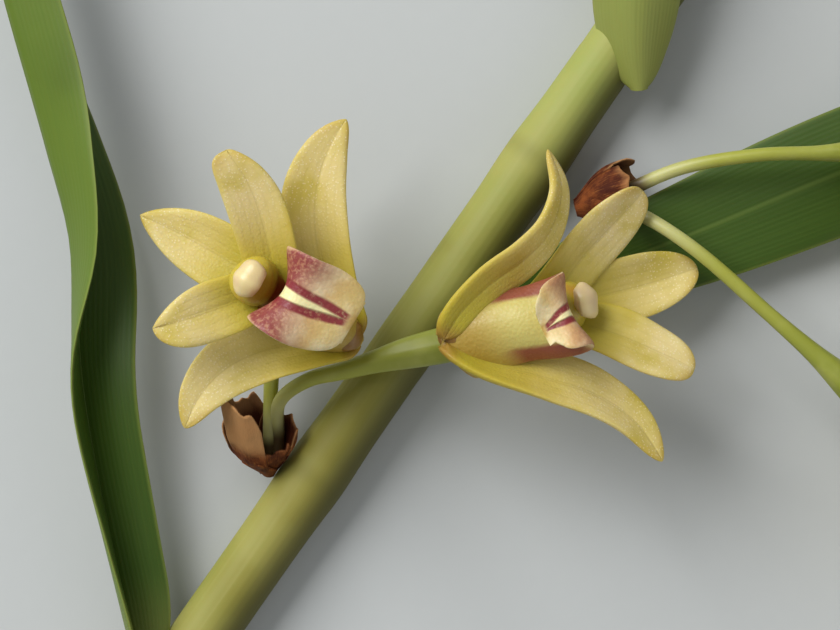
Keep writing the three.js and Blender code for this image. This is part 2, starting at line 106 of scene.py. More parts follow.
# Bract scales, in millimetres and shares of their length
TEARS = 12
TORN = (-0.12, 0.06)
SIDE_DROP, SIDE_POWER = 0.5, 5
RIPPLES, RIPPLE = 9, 0.05
SCALE_NEST = 0.1
SCALE_LEAST_RADIUS = 0.15
SCALE_DEPTH = 0.055


def rgb(red, green, blue):
    """A colour as the eye reads it, 0 to 255, in the linear values that shaders take."""
    def linear(level):
        level /= 255
        return level / 12.92 if level <= 0.04045 else ((level + 0.055) / 1.055) ** 2.4
    return (linear(red), linear(green), linear(blue))


def colour_prop(name, description, *levels):
    return bpy.props.FloatVectorProperty(
        name=name, description=description, subtype="COLOR", size=3, min=0, max=1,
        default=rgb(*levels))


def value_prop(name, description, unit, value, least=0):
    return bpy.props.FloatProperty(
        name=name, description=description, unit=unit, min=least, precision=5, default=value)


def length_prop(name, description, millimetres, least=0):
    return value_prop(name, description, "LENGTH", millimetres * MM, least)


class StemSizes(bpy.types.PropertyGroup):
    cane_radius: length_prop("Cane radius", "Half the cane's thickness between its nodes", 1.78)
    cane_taper: length_prop("Cane taper", "How much thinner the cane is at its tip", 0.35)
    node_swell: length_prop("Node swell", "How far a node stands out", 0.12)
    node_spread: length_prop("Node spread", "Half the length of a node's swelling", 2.4)
    sheath_step: length_prop("Sheath step", "How far a sheath's edge stands off the cane", 0.02)
    rib_depth: length_prop("Rib depth", "Depth of the fine ribs of the sheaths", 0.003)
    ribs: bpy.props.IntProperty(
        name="Ribs", description="Fine ribs round the sheaths", min=3, max=60, default=26)
    leaf_width: length_prop("Leaf width", "Width of a full leaf laid flat", 7.2)
    leaf_thickness: length_prop("Leaf thickness", "Thickness of a leaf's blade", 0.42)
    sepal_width: length_prop("Sepal width", "Width of a sepal laid flat", 3.9)
    petal_width: length_prop("Petal width", "Width of a petal laid flat", 3.3)
    tepal_thickness: length_prop("Tepal thickness", "Thickness of sepals, petals and lips", 0.62)
    pedicel_radius: length_prop("Pedicel radius", "Half the thickness of a flower stalk", 0.42)
    pedicel_grooves: length_prop("Ovary grooves", "Depth of the grooves along an ovary", 0.035)


class StemColours(bpy.types.PropertyGroup):
    cane: colour_prop("Cane", "Straw green of the sheaths", 146, 138, 58)
    cane_fresh: colour_prop("Cane, fresh", "Green of the cane toward its tip", 156, 164, 82)
    leaf: colour_prop("Leaf", "Dark green of a leaf's face", 58, 84, 14)
    leaf_back: colour_prop("Leaf, back", "Light green of a leaf's back", 104, 126, 36)
    bract: colour_prop("Bract", "Red brown of the dry bracts", 140, 74, 32)
    bract_rim: colour_prop("Bract rim", "Pale brown of their torn rims", 202, 152, 98)
    pedicel: colour_prop("Pedicel", "Yellow green of the flower stalks", 168, 170, 72)
    tepal: colour_prop("Tepal", "Yellow of the sepals and petals", 204, 184, 80)
    tepal_base: colour_prop("Tepal base", "Green yellow at their bases", 180, 166, 44)
    tepal_tip: colour_prop("Tepal tip", "Gold of their tips", 190, 156, 52)
    lip: colour_prop("Lip", "Cream of the lip", 236, 218, 170)
    lip_mark: colour_prop("Lip marks", "Maroon of the lip's stripes and speckle", 134, 34, 42)
    lip_base: colour_prop("Lip base", "Ochre of the lip's trough", 176, 146, 58)
    column: colour_prop("Column", "Olive yellow of the column", 190, 168, 50)
    cap: colour_prop("Anther cap", "Cream of the anther cap", 230, 210, 150)
    floor: colour_prop("Floor", "Pale grey of the surface", 196, 199, 198)


class StageSettings(bpy.types.PropertyGroup):
    height: length_prop("Camera height", "Height of the camera above the surface", 134)
    across: length_prop("View across", "Middle of the view along X", -0.229, -1)
    along: length_prop("View along", "Middle of the view along Y", 0.328, -1)
    lens: value_prop("Lens", "Focal length", "CAMERA", 100, 10)
    main_light: value_prop("Main light", "Soft light from the upper left", "POWER", 2.6)
    fill_light: value_prop("Fill light", "Weak light from the other side", "POWER", 0.35)


def along(values, t):
    """Reads a list of values, given at even steps, at shares t of the way, smoothly."""
    values = np.asarray(values, float)
    if len(values) == 1:
        return np.full_like(t, values[0])
    last = len(values) - 1
    at = np.clip(t, 0, 1) * last
    i = np.minimum(np.floor(at).astype(int), last - 1)
    f = at - i
    a, b, c, d = (values[np.clip(i + k, 0, last)] for k in (-1, 0, 1, 2))
    bend = 2 * a - 5 * b + 4 * c - d
    twist = 3 * b - a - 3 * c + d
    return 0.5 * (2 * b + (c - a) * f + bend * f ** 2 + twist * f ** 3)


def unit(vectors):
    length = np.linalg.norm(vectors, axis=-1, keepdims=True)
    return vectors / np.maximum(length, 1e-9)


def curve_points(points, t, steps=60):
    """Points and directions at shares t of a smooth curve's length through the given points."""
    def between(p, q, x, low, high):
        return p + (q - p) * (x - low) / (high - low)

    points = np.asarray(points, float)
    ends = np.vstack([2 * points[0] - points[1], points, 2 * points[-1] - points[-2]])
    fine = []
    for group in zip(ends, ends[1:], ends[2:], ends[3:]):
        knots = np.cumsum([0] + [max(np.linalg.norm(q - p), 1e-4) ** 0.5
                                 for p, q in zip(group, group[1:])])
        for x in np.linspace(knots[1], knots[2], steps, endpoint=False):
            ab, bc, cd = (between(group[k], group[k + 1], x, knots[k], knots[k + 1])
                          for k in range(3))
            abc = between(ab, bc, x, knots[0], knots[2])
            bcd = between(bc, cd, x, knots[1], knots[3])
            fine.append(between(abc, bcd, x, knots[1], knots[2]))
    fine = np.array(fine + [points[-1]])
    reach = np.concatenate([[0], np.cumsum(np.linalg.norm(np.diff(fine, axis=0), axis=1))])
    where = np.asarray(t) * reach[-1]
    places, ways = (np.stack([np.interp(where, reach, values[:, k]) for k in range(3)], axis=1)
                    for values in (fine, np.gradient(fine, reach, axis=0)))
    return places, unit(ways)


def on_cane(distance, left, z):
    """The point of the drawing at a distance along the cane, to its left side, and up."""
    return TURN.T @ np.array([distance, left, z])


def bloom_axes(front, tilt):
    """The right, dorsal and outward directions of a bloom as the columns of a matrix."""
    turn = math.radians(front)
    lean = math.radians(tilt)
    heading = np.array([math.cos(turn), math.sin(turn), 0])
    outward = heading * math.sin(lean) + UP * math.cos(lean)
    dorsal = heading * math.cos(lean) - UP * math.sin(lean)
    return np.stack([np.cross(dorsal, outward), dorsal, outward], axis=1)


def eased(steps):
    """Shares from 0 to 1 that lie closer toward both ends."""
    return (1 - np.cos(np.pi * np.arange(steps + 1) / steps)) / 2


def outline(form, t):
    """The share of its full width that a blade has at shares t of its length."""
    base, widest, tip = form["base"], form["widest"], form["tip"]
    rising = base + (1 - base) * np.sin(np.pi / 2 * np.clip(t / widest, 0, 1))
    past = np.clip((t - widest) / (1 - widest), 0, 1)
    falling = (1 - past ** FULLNESS) ** tip
    return np.where(t < widest, rising, np.maximum(falling, form.get("end", LEAST_TIP)))


def shown(name, data):
    """A new object in the scene."""
    thing = bpy.data.objects.new(name, data)
    bpy.context.scene.collection.objects.link(thing)
    return thing


def put_in_place(data, node, material):
    """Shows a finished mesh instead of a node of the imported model."""
    if not data.polygons:
        raise RuntimeError(f"{node} has no faces")
    data.name = node
    data.materials.clear()
    data.materials.append(material)
    piece = shown(node, data)
    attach(piece, "root")
    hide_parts(node)


class Form:
    """A mesh being put together from lofted grids, with its UV map and face side."""

    def __init__(self, name):
        self.name = name
        self.mesh = bmesh.new()
        self.uv = self.mesh.loops.layers.uv.new("UVMap")
        self.side = self.mesh.verts.layers.float.new("side")

    def loft(self, rings, across, lengthways, side):
        """Joins rings of points; each ring point has its UV and its side of the blade."""
        rows = []
        for ring in rings:
            rows.append([self.mesh.verts.new(TURN @ p * MM) for p in ring])
            for vertex, s in zip(rows[-1], side):
                vertex[self.side] = s

        def face(*corners):
            made = self.mesh.faces.new([rows[j][k] for j, k in corners])
            made.smooth = True
            for loop, (j, k) in zip(made.loops, corners):
                loop[self.uv].uv = (across[k], lengthways[j])

        count, last = len(side), len(rows) - 1
        for j in range(last):
            for k in range(count):
                m = (k + 1) % count
                face((j, k), (j, m), (j + 1, m), (j + 1, k))
        for j, step in ((0, 1), (last, -1)):
            for k in range(count // 2 - 1):
                far = count - 1 - k
                face(*((j, m) for m in (k, far, far - 1, k + 1)[::step]))

    def sheet(self, middle, depth, across, lengthways, floor=-math.inf, place=lambda p: p):
        """Lofts a sheet round a grid of points, and keeps it above the floor."""
        facing = unit(np.cross(np.gradient(middle, axis=1), np.gradient(middle, axis=0)))
        ring = np.concatenate([middle + facing * depth, (middle - facing * depth)[:, ::-1]], axis=1)
        ring[..., 2] = np.maximum(ring[..., 2], floor)
        self.loft([[place(p) for p in row] for row in ring],
                  np.concatenate([across, across[::-1]]), lengthways,
                  np.repeat((1.0, -1.0), len(across)))

    def finish(self, material):
        """Closes the mesh, turns its faces out and puts it in place of its node."""
        bmesh.ops.remove_doubles(self.mesh, verts=self.mesh.verts, dist=WELD * MM)
        bmesh.ops.dissolve_degenerate(self.mesh, edges=self.mesh.edges, dist=SLIVER * MM)
        if self.mesh.calc_volume(signed=True) < 0:
            bmesh.ops.reverse_faces(self.mesh, faces=self.mesh.faces)
        data = bpy.data.meshes.new(self.name)
        self.mesh.to_mesh(data)
        self.mesh.free()
        put_in_place(data, self.name, material)


def face_directions(shape, forward, t):
    """Where a blade's face looks, or its fixed sideways direction, along its spine."""
    if "side" in shape:
        return np.tile(np.asarray(shape["side"], float), (len(t), 1))
    if "turns" in shape:
        sideways = unit(np.cross(forward, UP))
        level = np.cross(sideways, forward)
        turn = np.radians(along(shape["turns"], t))[:, None]
        return level * np.cos(turn) + sideways * np.sin(turn)
    faces = np.asarray(shape["faces"], float)
    return unit(np.stack([along(faces[:, k], t) for k in range(3)], axis=1))


def blade(form, shape, width, thickness, place=lambda p: p, steps=(56, 22)):
    """A blade along a spine: a sepal, a petal, a lip or a leaf."""
    rings, columns = steps
    t = eased(rings)
    s = np.sin(np.pi / 2 * np.linspace(-1, 1, columns + 1))
    down, rim = t[:, None], np.abs(s)
    centre, forward = curve_points(shape["spine"], t)
    face = face_directions(shape, forward, t)
    sideways = face if "side" in shape else unit(np.cross(forward, face))
    normal = unit(np.cross(sideways, forward))
    left, right = (outline({**shape["form"], **shape.get(side, {})}, down)
                   for side in ("left", "right"))
    foot = np.sqrt(np.clip(1 - (1 - down / ROUND_FOOT) ** 2, LEAST_FOOT, 1))
    half = width / 2 * np.where(down < ROUND_FOOT, foot, 1) * np.where(s < 0, left, right)
    cup = along(shape["cups"], down)
    keel = shape.get("keel")
    bow = s ** 2 if keel is None else np.sqrt(s ** 2 + keel) - math.sqrt(keel)
    lift = cup * half * bow
    for size, count, phase in shape["waves"]:
        beat = np.sin(2 * np.pi * (count * down + phase + WAVE_SLANT * s))
        lift += size * beat * rim ** WAVE_POWER * np.sin(np.pi * down) ** WAVE_FADE
    inward = np.sin(np.pi * down) ** RELIEF_FADE
    lift -= shape.get("channel", 0) * np.exp(-(s / CHANNEL_HALF) ** 2) * inward
    lift += shape.get("roll", 0) * rim ** ROLL_POWER * inward
    spread = half * np.sqrt(1 - cup ** 2) * s + along(shape.get("skew", (0,)), down)
    middle = centre[:, None] + sideways[:, None] * spread[..., None]
    middle = middle + normal[:, None] * lift[..., None]
    depth = (thickness / 2 * np.sqrt(np.clip(1 - s ** EDGE_POWER, LEAST_EDGE, 1))
             * np.sqrt(np.clip(1 - down ** TIP_POWER, LEAST_EDGE, 1)))
    lengthways = np.interp(t, (0, shape.get("fold", LIP_FOLD), 1), (0, LIP_FOLD, 1))
    form.sheet(middle, depth[..., None], (s + 1) / 2, lengthways,
               shape.get("floor", -math.inf), place)


def knob(form, path, radii, flat, place, steps, bumps):
    """A solid with oval rings along a path: a column or an anther cap."""
    rings, sides = steps
    t = eased(rings)
    centre, forward = curve_points(path, t)
    reference = np.array([1.0, 0.0, 0.0])
    wide = unit(reference[None, :] - forward * (forward @ reference)[:, None])
    thin = np.cross(forward, wide)
    radius = along(radii, t) * np.clip(4 * np.sqrt(t * (1 - t)), LEAST_KNOB, 1)
    angle = (np.arange(sides) + 0.5) / sides * 2 * np.pi
    swell = np.ones(sides)
    for size, count, phase in bumps:
        swell += size * np.cos(count * angle + phase)
    ring = []
    for i in range(rings + 1):
        spread = radius[i] * swell
        ring.append(centre[i] + np.outer(spread * np.cos(angle), wide[i])
                    + np.outer(spread * flat * np.sin(angle), thin[i]))
    form.loft([[place(p) for p in row] for row in ring], np.abs(angle / np.pi - 1), t,
              -np.sin(angle))


def bract_scale(form, cup, first, last, reach, seed, steps=(26, 34)):
    """One papery scale: part of the cup's wall with a torn rim."""
    random = np.random.default_rng(seed)
    rings, columns = steps
    t = np.arange(rings + 1) / rings
    s = np.linspace(0, 1, columns + 1)
    down = t[:, None]
    angle = np.radians(first + (last - first) * s)
    base = np.asarray(cup["root"], float)
    axis = np.asarray(cup["mouth"], float) - base
    wide = unit(np.cross(axis, UP))
    thin = unit(np.cross(axis, wide))
    torn = np.interp(s, np.linspace(0, 1, TEARS), random.uniform(*TORN, TEARS))
    torn -= SIDE_DROP * np.abs(2 * s - 1) ** SIDE_POWER
    share = down * (reach + torn * down ** 2)
    radius = along(cup["outer"], np.clip(share, 0, 1)) - SCALE_NEST * (seed % 4)
    ripple = RIPPLE * np.sin(angle * RIPPLES + seed) * down
    radius = np.maximum(radius * (1 + ripple), SCALE_LEAST_RADIUS)
    middle = base + axis * share[..., None]
    middle = middle + wide * (radius * np.cos(angle))[..., None]
    middle = middle + thin * (radius * cup["flat"] * np.sin(angle))[..., None]
    form.sheet(middle, SCALE_DEPTH, s, t * reach, 0.0)


def math_method(operation, swapped=False):
    """A method that adds a Math node; swapped puts the other value first."""
    def method(self, *others):
        made = self.nodes.node("ShaderNodeMath", operation=operation)
        for socket, given in zip(made.inputs, (*others, self) if swapped else (self, *others)):
            self.nodes.feed(socket, given)
        return Value(self.nodes, made.outputs[0])
    return method


class Value:
    """An output of a node, of any kind; the operators of a number add Math nodes."""

    def __init__(self, nodes, socket):
        self.nodes = nodes
        self.socket = socket

    __add__, __radd__ = math_method("ADD"), math_method("ADD", True)
    __sub__, __rsub__ = math_method("SUBTRACT"), math_method("SUBTRACT", True)
    __mul__, __rmul__ = math_method("MULTIPLY"), math_method("MULTIPLY", True)
    __truediv__, __rtruediv__ = math_method("DIVIDE"), math_method("DIVIDE", True)
    __pow__, __abs__ = math_method("POWER"), math_method("ABSOLUTE")
    sin, cos, exp = math_method("SINE"), math_method("COSINE"), math_method("EXPONENT")
    floor, round = math_method("FLOOR"), math_method("ROUND")
    at_least, at_most = math_method("MAXIMUM"), math_method("MINIMUM")
    angle_from = math_method("ARCTAN2")

    def rise(self, low, high):
        """0 below low, 1 above high, and smooth between; falls where low is above high."""
        return self.nodes.add("ShaderNodeMapRange", interpolation_type="SMOOTHSTEP", Value=self,
                              From_Min=low, From_Max=high)


class Nodes:
    """Adds nodes to one tree."""

    def __init__(self, tree):
        self.tree = tree

    def node(self, kind, **given):
        """A node of a type; lower case names are its settings, the others are its sockets."""
        made = self.tree.nodes.new(kind)
        for name in filter(str.islower, given):
            setattr(made, name, given[name])
        for name, value in given.items():
            if not name.islower():
                self.feed(made.inputs[name.replace("_", " ")], value)
        return made

    def feed(self, socket, given):
        """Links a value to a socket, or sets the socket to a plain value."""
        if isinstance(given, Value):
            self.tree.links.new(given.socket, socket)
        else:
            socket.default_value = given

    def add(self, kind, output=0, **given):
        """A node's output, by its place or its name."""
        return Value(self, self.node(kind, **given).outputs[output])

    def split(self, vector):
        return [Value(self, part) for part in
                self.node("ShaderNodeSeparateXYZ", Vector=vector).outputs]


def start_tree(name, inputs):
    """A Geometry Nodes tree with the named inputs; its nodes, inputs and resampled line."""
    tree = bpy.data.node_groups.new(name, "GeometryNodeTree")
    for way in ("INPUT", "OUTPUT"):
        tree.interface.new_socket("Geometry", in_out=way, socket_type="NodeSocketGeometry")
    kinds = {float: "NodeSocketFloat", int: "NodeSocketInt"}
    for label, value in inputs.items():
        tree.interface.new_socket(label, in_out="INPUT", socket_type=kinds.get(
            type(value), "NodeSocketMaterial"))
    nodes = Nodes(tree)
    given = {socket.name: Value(nodes, socket)
             for socket in nodes.node("NodeGroupInput").outputs}
    line = nodes.add("GeometryNodeMeshToCurve", Mesh=given["Geometry"])
    return nodes, given, nodes.add("GeometryNodeResampleCurve", Curve=line, Count=given["Rings"])


def tube(nodes, given, curve, radius):
    """A closed tube along a curve, and the share of the way round it at its points."""
    circle = nodes.add("GeometryNodeCurvePrimitiveCircle", Resolution=given["Sides"], Radius=1.0)
    ring = nodes.add("GeometryNodeStoreNamedAttribute", Geometry=circle, Name="around",
                     Value=nodes.add("GeometryNodeSplineParameter"))
    mesh = nodes.add("GeometryNodeCurveToMesh", Curve=curve, Profile_Curve=ring, Scale=radius,
                     Fill_Caps=True)
    return mesh, nodes.add("GeometryNodeInputNamedAttribute", Name="around")


def close_tree(nodes, given, mesh, height):
    """Ends a tree: relief, nothing below the surface, smooth faces, one mesh, its material."""
    push = nodes.add("ShaderNodeVectorMath", operation="SCALE", Scale=height,
                     Vector=nodes.add("GeometryNodeInputNormal"))
    mesh = nodes.add("GeometryNodeSetPosition", Geometry=mesh, Offset=push)
    x, y, z = nodes.split(nodes.add("GeometryNodeInputPosition"))
    rested = nodes.add("ShaderNodeCombineXYZ", X=x, Y=y, Z=z.at_least(0.0))
    mesh = nodes.add("GeometryNodeSetPosition", Geometry=mesh, Position=rested)
    mesh = nodes.add("GeometryNodeSetShadeSmooth", Geometry=mesh, Shade_Smooth=True)
    mesh = nodes.add("GeometryNodeRealizeInstances", Geometry=mesh)
    mesh = nodes.add("GeometryNodeSetMaterial", Geometry=mesh, Material=given["Material"])
    nodes.node("NodeGroupOutput", Geometry=mesh)
    return nodes.tree


def cane_tree(inputs):
    """The cane's rule: nodes and sheath edges at even steps along a line, with fine ribs."""
    nodes, given, curve = start_tree("Ribbed Cane", inputs)
    distance = nodes.split(nodes.add("GeometryNodeInputPosition"))[0]
    share = (distance - given["Start"]) / (given["End"] - given["Start"])
    steps = (distance - given["First Node"]) / given["Internode"]
    to_node = (steps - steps.round()) * given["Internode"]
    near_node = (0 - (to_node / given["Node Spread"]) ** 2).exp()
    to_edge = (steps - steps.floor()) * given["Internode"] - given["Sheath Edge"]
    flare = (to_edge / (SHEATH_FLARE * MM) + 1).at_least(0)
    flare = flare * to_edge.rise(EDGE_BLEND * MM, -EDGE_BLEND * MM)
    sway = nodes.add("ShaderNodeTexNoise", noise_dimensions="1D", Scale=1.0, Detail=2.0,
                     W=distance * SWAYS + given["Seed"])
    radius = (given["Radius"] - given["Taper"] * share ** 3 + near_node * given["Node Swell"]
              + flare * given["Sheath Step"] + (sway - 0.5) * (UNEVENNESS * MM))
    mesh, around = tube(nodes, given, curve, radius)
    ribbing = (around * given["Ribs"] * (2 * math.pi)).cos() * given["Rib Depth"]
    return close_tree(nodes, given, mesh, ribbing * (1 - near_node * NODE_FADE))


def stalk_tree(inputs):
    """A stalk along a line of points, as thick as their girth says, with grooves."""
    nodes, given, curve = start_tree("Flower Stalk", inputs)
    curve = nodes.add("GeometryNodeStoreNamedAttribute", Geometry=curve, Name="lengthways",
                      Value=nodes.add("GeometryNodeSplineParameter"))
    girth = nodes.add("GeometryNodeInputNamedAttribute", Name="girth")
    mesh, around = tube(nodes, given, curve, girth)
    grooves = (around * given["Grooves"] * (2 * math.pi)).cos()
    thick = girth.rise(OVARY_STARTS * MM, OVARY_FULL * MM)
    return close_tree(nodes, given, mesh, grooves * thick * given["Groove Depth"])


def grow(node, tree, inputs, points, girth=None):
    """Runs a tree along a line of points and puts the plain mesh in place of a node."""
    line = bpy.data.meshes.new(node + "_line")
    places = [tuple(float(x) for x in TURN @ p * MM) for p in points]
    line.from_pydata(places, [(i, i + 1) for i in range(len(places) - 1)], [])
    if girth is not None:
        layer = line.attributes.new("girth", "FLOAT", "POINT")
        layer.data.foreach_set("value", np.asarray(girth, np.float32))
    holder = shown(node + "_maker", line)
    modifier = holder.modifiers.new("Shape", "NODES")
    modifier.node_group = tree
    for item in tree.interface.items_tree:
        if item.item_type == "SOCKET" and item.in_out == "INPUT" and item.name in inputs:
            modifier[item.identifier] = inputs[item.name]
    bpy.context.view_layer.update()
    ready = holder.evaluated_get(bpy.context.evaluated_depsgraph_get())
    data = bpy.data.meshes.new_from_object(ready)
    holder.modifiers.remove(modifier)
    bpy.data.objects.remove(holder)
    put_in_place(data, node, inputs["Material"])


class Finish(Nodes):
    """A procedural material with one Principled shader.

    Its glow is the weight, depth and reach by colour of the light that passes below its face.
    """

    def __init__(self, name, roughness, glow=(), **constants):
        self.material = bpy.data.materials.new(name)
        self.material.use_nodes = True
        super().__init__(self.material.node_tree)
        self.tree.nodes.clear()
        constants.update(zip(
            ("Subsurface_Weight", "Subsurface_Scale", "Subsurface_Radius"), glow))
        self.shader = self.node("ShaderNodeBsdfPrincipled", Roughness=roughness, **constants)
        self.node("ShaderNodeOutputMaterial", Surface=Value(self, self.shader.outputs[0]))
        self.object = self.add("ShaderNodeTexCoord", "Object")

    def uv(self):
        """Across and lengthways of a blade, each from 0 to 1."""
        return self.split(self.add("ShaderNodeUVMap", uv_map="UVMap"))[:2]

    def attribute(self, name):
        return self.add("ShaderNodeAttribute", "Fac", attribute_name=name)

    def noise(self, scale, detail=2.0, roughness=0.5, vector=None):
        return self.add("ShaderNodeTexNoise", Vector=vector or self.object, Scale=scale,
                        Detail=detail, Roughness=roughness)

    def streaks(self, x, y, z=0.0, detail=3.0, roughness=0.6):
        """Noise over the given coordinates, which stretch it."""
        vector = self.add("ShaderNodeCombineXYZ", X=x, Y=y, Z=z)
        return self.noise(1.0, detail, roughness, vector)

    def cells(self, scale):
        return self.add("ShaderNodeTexVoronoi", Vector=self.object, Scale=scale)

    def layered(self, colour, *layers):
        """A colour with others over it, each at its share: named, as levels, or a value."""
        for share, over in layers:
            made = self.node("ShaderNodeMix", data_type="RGBA")
            for socket, given in zip((made.inputs[0], *made.inputs[6:8]), (share, colour, over)):
                if isinstance(given, str):
                    given = (*getattr(bpy.context.scene.stem_colours, given), 1)
                elif isinstance(given, tuple):
                    given = (*rgb(*given), 1)
                self.feed(socket, given)
            colour = Value(self, made.outputs[2])
        return colour

    def done(self, colour, relief, distance, strength, rough=None):
        """Gives the shader its colour, relief and roughness, and returns the material."""
        self.feed(self.shader.inputs["Base Color"], colour)
        if rough is not None:
            self.feed(self.shader.inputs["Roughness"], rough)
        self.feed(self.shader.inputs["Normal"], self.add(
            "ShaderNodeBump", Height=relief, Distance=distance * MM, Strength=strength))
        return self.material


def cane_finish():
    """Waxy sheaths: straw green with fine strands, green toward the tip, and painted shade along
    the side toward -Y.
    """
    f = Finish("cane", 0.5, (0.08, MM), Specular_IOR_Level=0.35)
    x, y, z = f.split(f.object)
    strands = f.streaks(x * 45, (z - CANE_AXIS * MM).angle_from(y) * 7, 3.0)
    blotches = f.noise(170)
    fresh = f.noise(60).rise(0.38, 0.62) * 0.5 + x.rise(-14 * MM, 12 * MM) * 0.6
    steps = (x - FIRST_NODE * MM) / (INTERNODE * MM)
    half = INTERNODE / 2
    from_half_way = abs((steps - steps.floor()) * INTERNODE - half)
    # Painted shade: the cane's side toward -Y, away from the main light, is darkened in its colour
    painted_shade = (y + (blotches - 0.5) * (0.5 * MM)).rise(0.3 * MM, -1.7 * MM)
    colour = f.layered(
        "cane",
        (fresh.at_most(1.0), "cane_fresh"),
        (blotches.rise(0.45, 0.7) * 0.4, (172, 166, 92)),
        (blotches.rise(0.45, 0.25) * 0.45, (120, 112, 34)),
        (strands.rise(0.5, 0.75) * 0.12, (184, 178, 112)),
        (from_half_way.rise(half - 0.9, half) * 0.22, (104, 100, 36)),
        (painted_shade * 0.85, (66, 64, 6)))
    return f.done(colour, blotches * 1.5 + strands * 0.35 + f.noise(5200) * 0.1, 0.02, 0.5,
                  0.5 + blotches * 0.14)


def leaf_finish(name, fresh=0.0):
    """Leathery leaf: parallel veins, pale midrib and back; fresh mixes in a young green."""
    f = Finish(name, 0.45, (0.06, MM), Specular_IOR_Level=0.35)
    across, lengthways = f.uv()
    from_middle = abs(across - 0.5) * 2
    wander = f.streaks(across * 9, lengthways * 5, 0.0, 2.0, 0.5)
    veins = (across * 150 + wander * 3).sin()
    strands = f.streaks(across * 46, lengthways * 7)
    patches = f.noise(90, 3.0)
    sheath = lengthways.rise(0.08 + fresh * 0.14, 0.0)
    colour = f.layered(
        "leaf",
        (f.attribute("side").rise(0.2, -0.2) * 0.75, "leaf_back"),
        (fresh, (142, 156, 76)),
        (strands.rise(0.4, 0.75) * 0.22, (82, 108, 32)),
        (patches.rise(0.5, 0.25) * 0.3, (38, 58, 6)),
        (from_middle.rise(0.06, 0.01) * 0.4, (104, 124, 50)),
        (from_middle.rise(0.93, 1.0) * 0.5, (128, 142, 60)),
        (sheath * (0.55 + fresh * 0.3), (140, 144, 70)))
    return f.done(colour, veins * 0.3 + strands * 0.5 + f.noise(6000) * 0.3, 0.014, 0.6,
                  0.4 + patches * 0.2)


def bract_finish():
    """Dry papery bracts: red brown with lengthwise strands, a pale torn rim and painted shade on
    their inner faces.
    """
    f = Finish("bract", 0.72, Specular_IOR_Level=0.2)
    across, lengthways = f.uv()
    strands = f.streaks(across * 60, lengthways * 4, 0.0, 4.0, 0.65)
    blotches = f.noise(900, 4.0, 0.6)
    colour = f.layered(
        (74, 28, 10),
        (blotches.rise(0.35, 0.7), "bract"),
        (strands.rise(0.5, 0.78) * 0.65, (184, 118, 56)),
        (strands.rise(0.45, 0.25) * 0.6, (52, 18, 8)),
        ((lengthways + blotches * 0.25).rise(0.85, 1.2) * 0.75, "bract_rim"),
        # Painted shade: the inner faces of the scales are darkened for the shade inside the cup
        (f.attribute("side").rise(0.2, -0.2) * 0.6, (60, 18, 6)))
    return f.done(colour, strands * 1.2 + blotches, 0.05, 0.9)


def pedicel_finish():
    """Smooth waxy stalk: painted shade where it sits in the bract, pale above it and greener on the
    ovary.
    """
    f = Finish("pedicel", 0.4, (0.25, MM, (1.0, 0.8, 0.25)), Specular_IOR_Level=0.4)
    lengthways = f.attribute("lengthways")
    mottle = f.noise(500, 3.0)
    colour = f.layered(
        "pedicel",
        (lengthways.rise(0.3, 0.8), (140, 148, 52)),
        (mottle.rise(0.45, 0.75) * 0.35, (190, 190, 108)),
        (lengthways.rise(0.92, 1.0) * 0.4, (176, 160, 70)),
        (lengthways.rise(0.32, 0.14) * 0.6, (206, 202, 146)),
        # Painted shade: the stalk's foot inside the bract cup is darkened
        (lengthways.rise(0.13, 0.07) * 0.9, (60, 26, 10)))
    return f.done(colour, mottle + f.noise(6000) * 0.3, 0.02, 0.5)


def tepal_finish(name, more_cream_and_sheen=0.0, chin=0.0):
    """Fleshy yellow tepal: green base, golden tip and rim, a sparkling grain, cream patches that
    are partly painted sheen, and painted glints.
    """
    f = Finish(name, 0.38, (0.3, MM, (1.0, 0.75, 0.2)), Specular_IOR_Level=0.4)
    across, lengthways = f.uv()
    from_middle = abs(across - 0.5) * 2
    clouds = f.noise(300, 3.0, 0.55)
    wander = f.streaks(across * 3, lengthways * 4, 0.0, 2.0, 0.5) * 1.6
    veins = ((across * 44 + wander).cos() * 0.5 + 0.5) ** 5
    veins = veins * lengthways.rise(1.0, 0.6) * from_middle.rise(0.95, 0.7)
    grain = f.cells(6500)
    # Pale cream patches toward the tip: partly the tepal's own cream tone, partly painted sheen
    cream_and_painted_sheen = lengthways.rise(0.2, 0.75) * clouds.rise(0.25, 0.6)
    gilt = (lengthways + from_middle * 0.12 + clouds * 0.2 - 0.18).rise(0.84, 1.02)
    # Painted glints: pale specks in the colour stand in for light sparkling off the grain
    painted_glint = grain.rise(0.34, 0.14) * lengthways.rise(0.3, 0.75)
    colour = f.layered(
        "tepal",
        (lengthways.rise(0.5, 0.02), "tepal_base"),
        (cream_and_painted_sheen * (0.6 + more_cream_and_sheen), (232, 212, 156)),
        (gilt * 0.6, "tepal_tip"),
        (clouds.rise(0.5, 0.25) * 0.3, (184, 164, 62)),
        (veins * 0.07, (160, 146, 50)),
        (from_middle.rise(0.06, 0.0) * 0.22, (160, 142, 52)),
        (from_middle.rise(0.86, 1.0) * 0.22, (196, 166, 54)),
        (painted_glint * 0.42, (250, 238, 206)),
        ((lengthways + clouds * 0.06).rise(0.13, 0.03) * chin, (150, 104, 44)))
    return f.done(colour, grain * -0.9 + clouds * 1.8 - veins * 0.4, 0.03, 0.6,
                  0.26 + grain * 0.45 + clouds * 0.12)


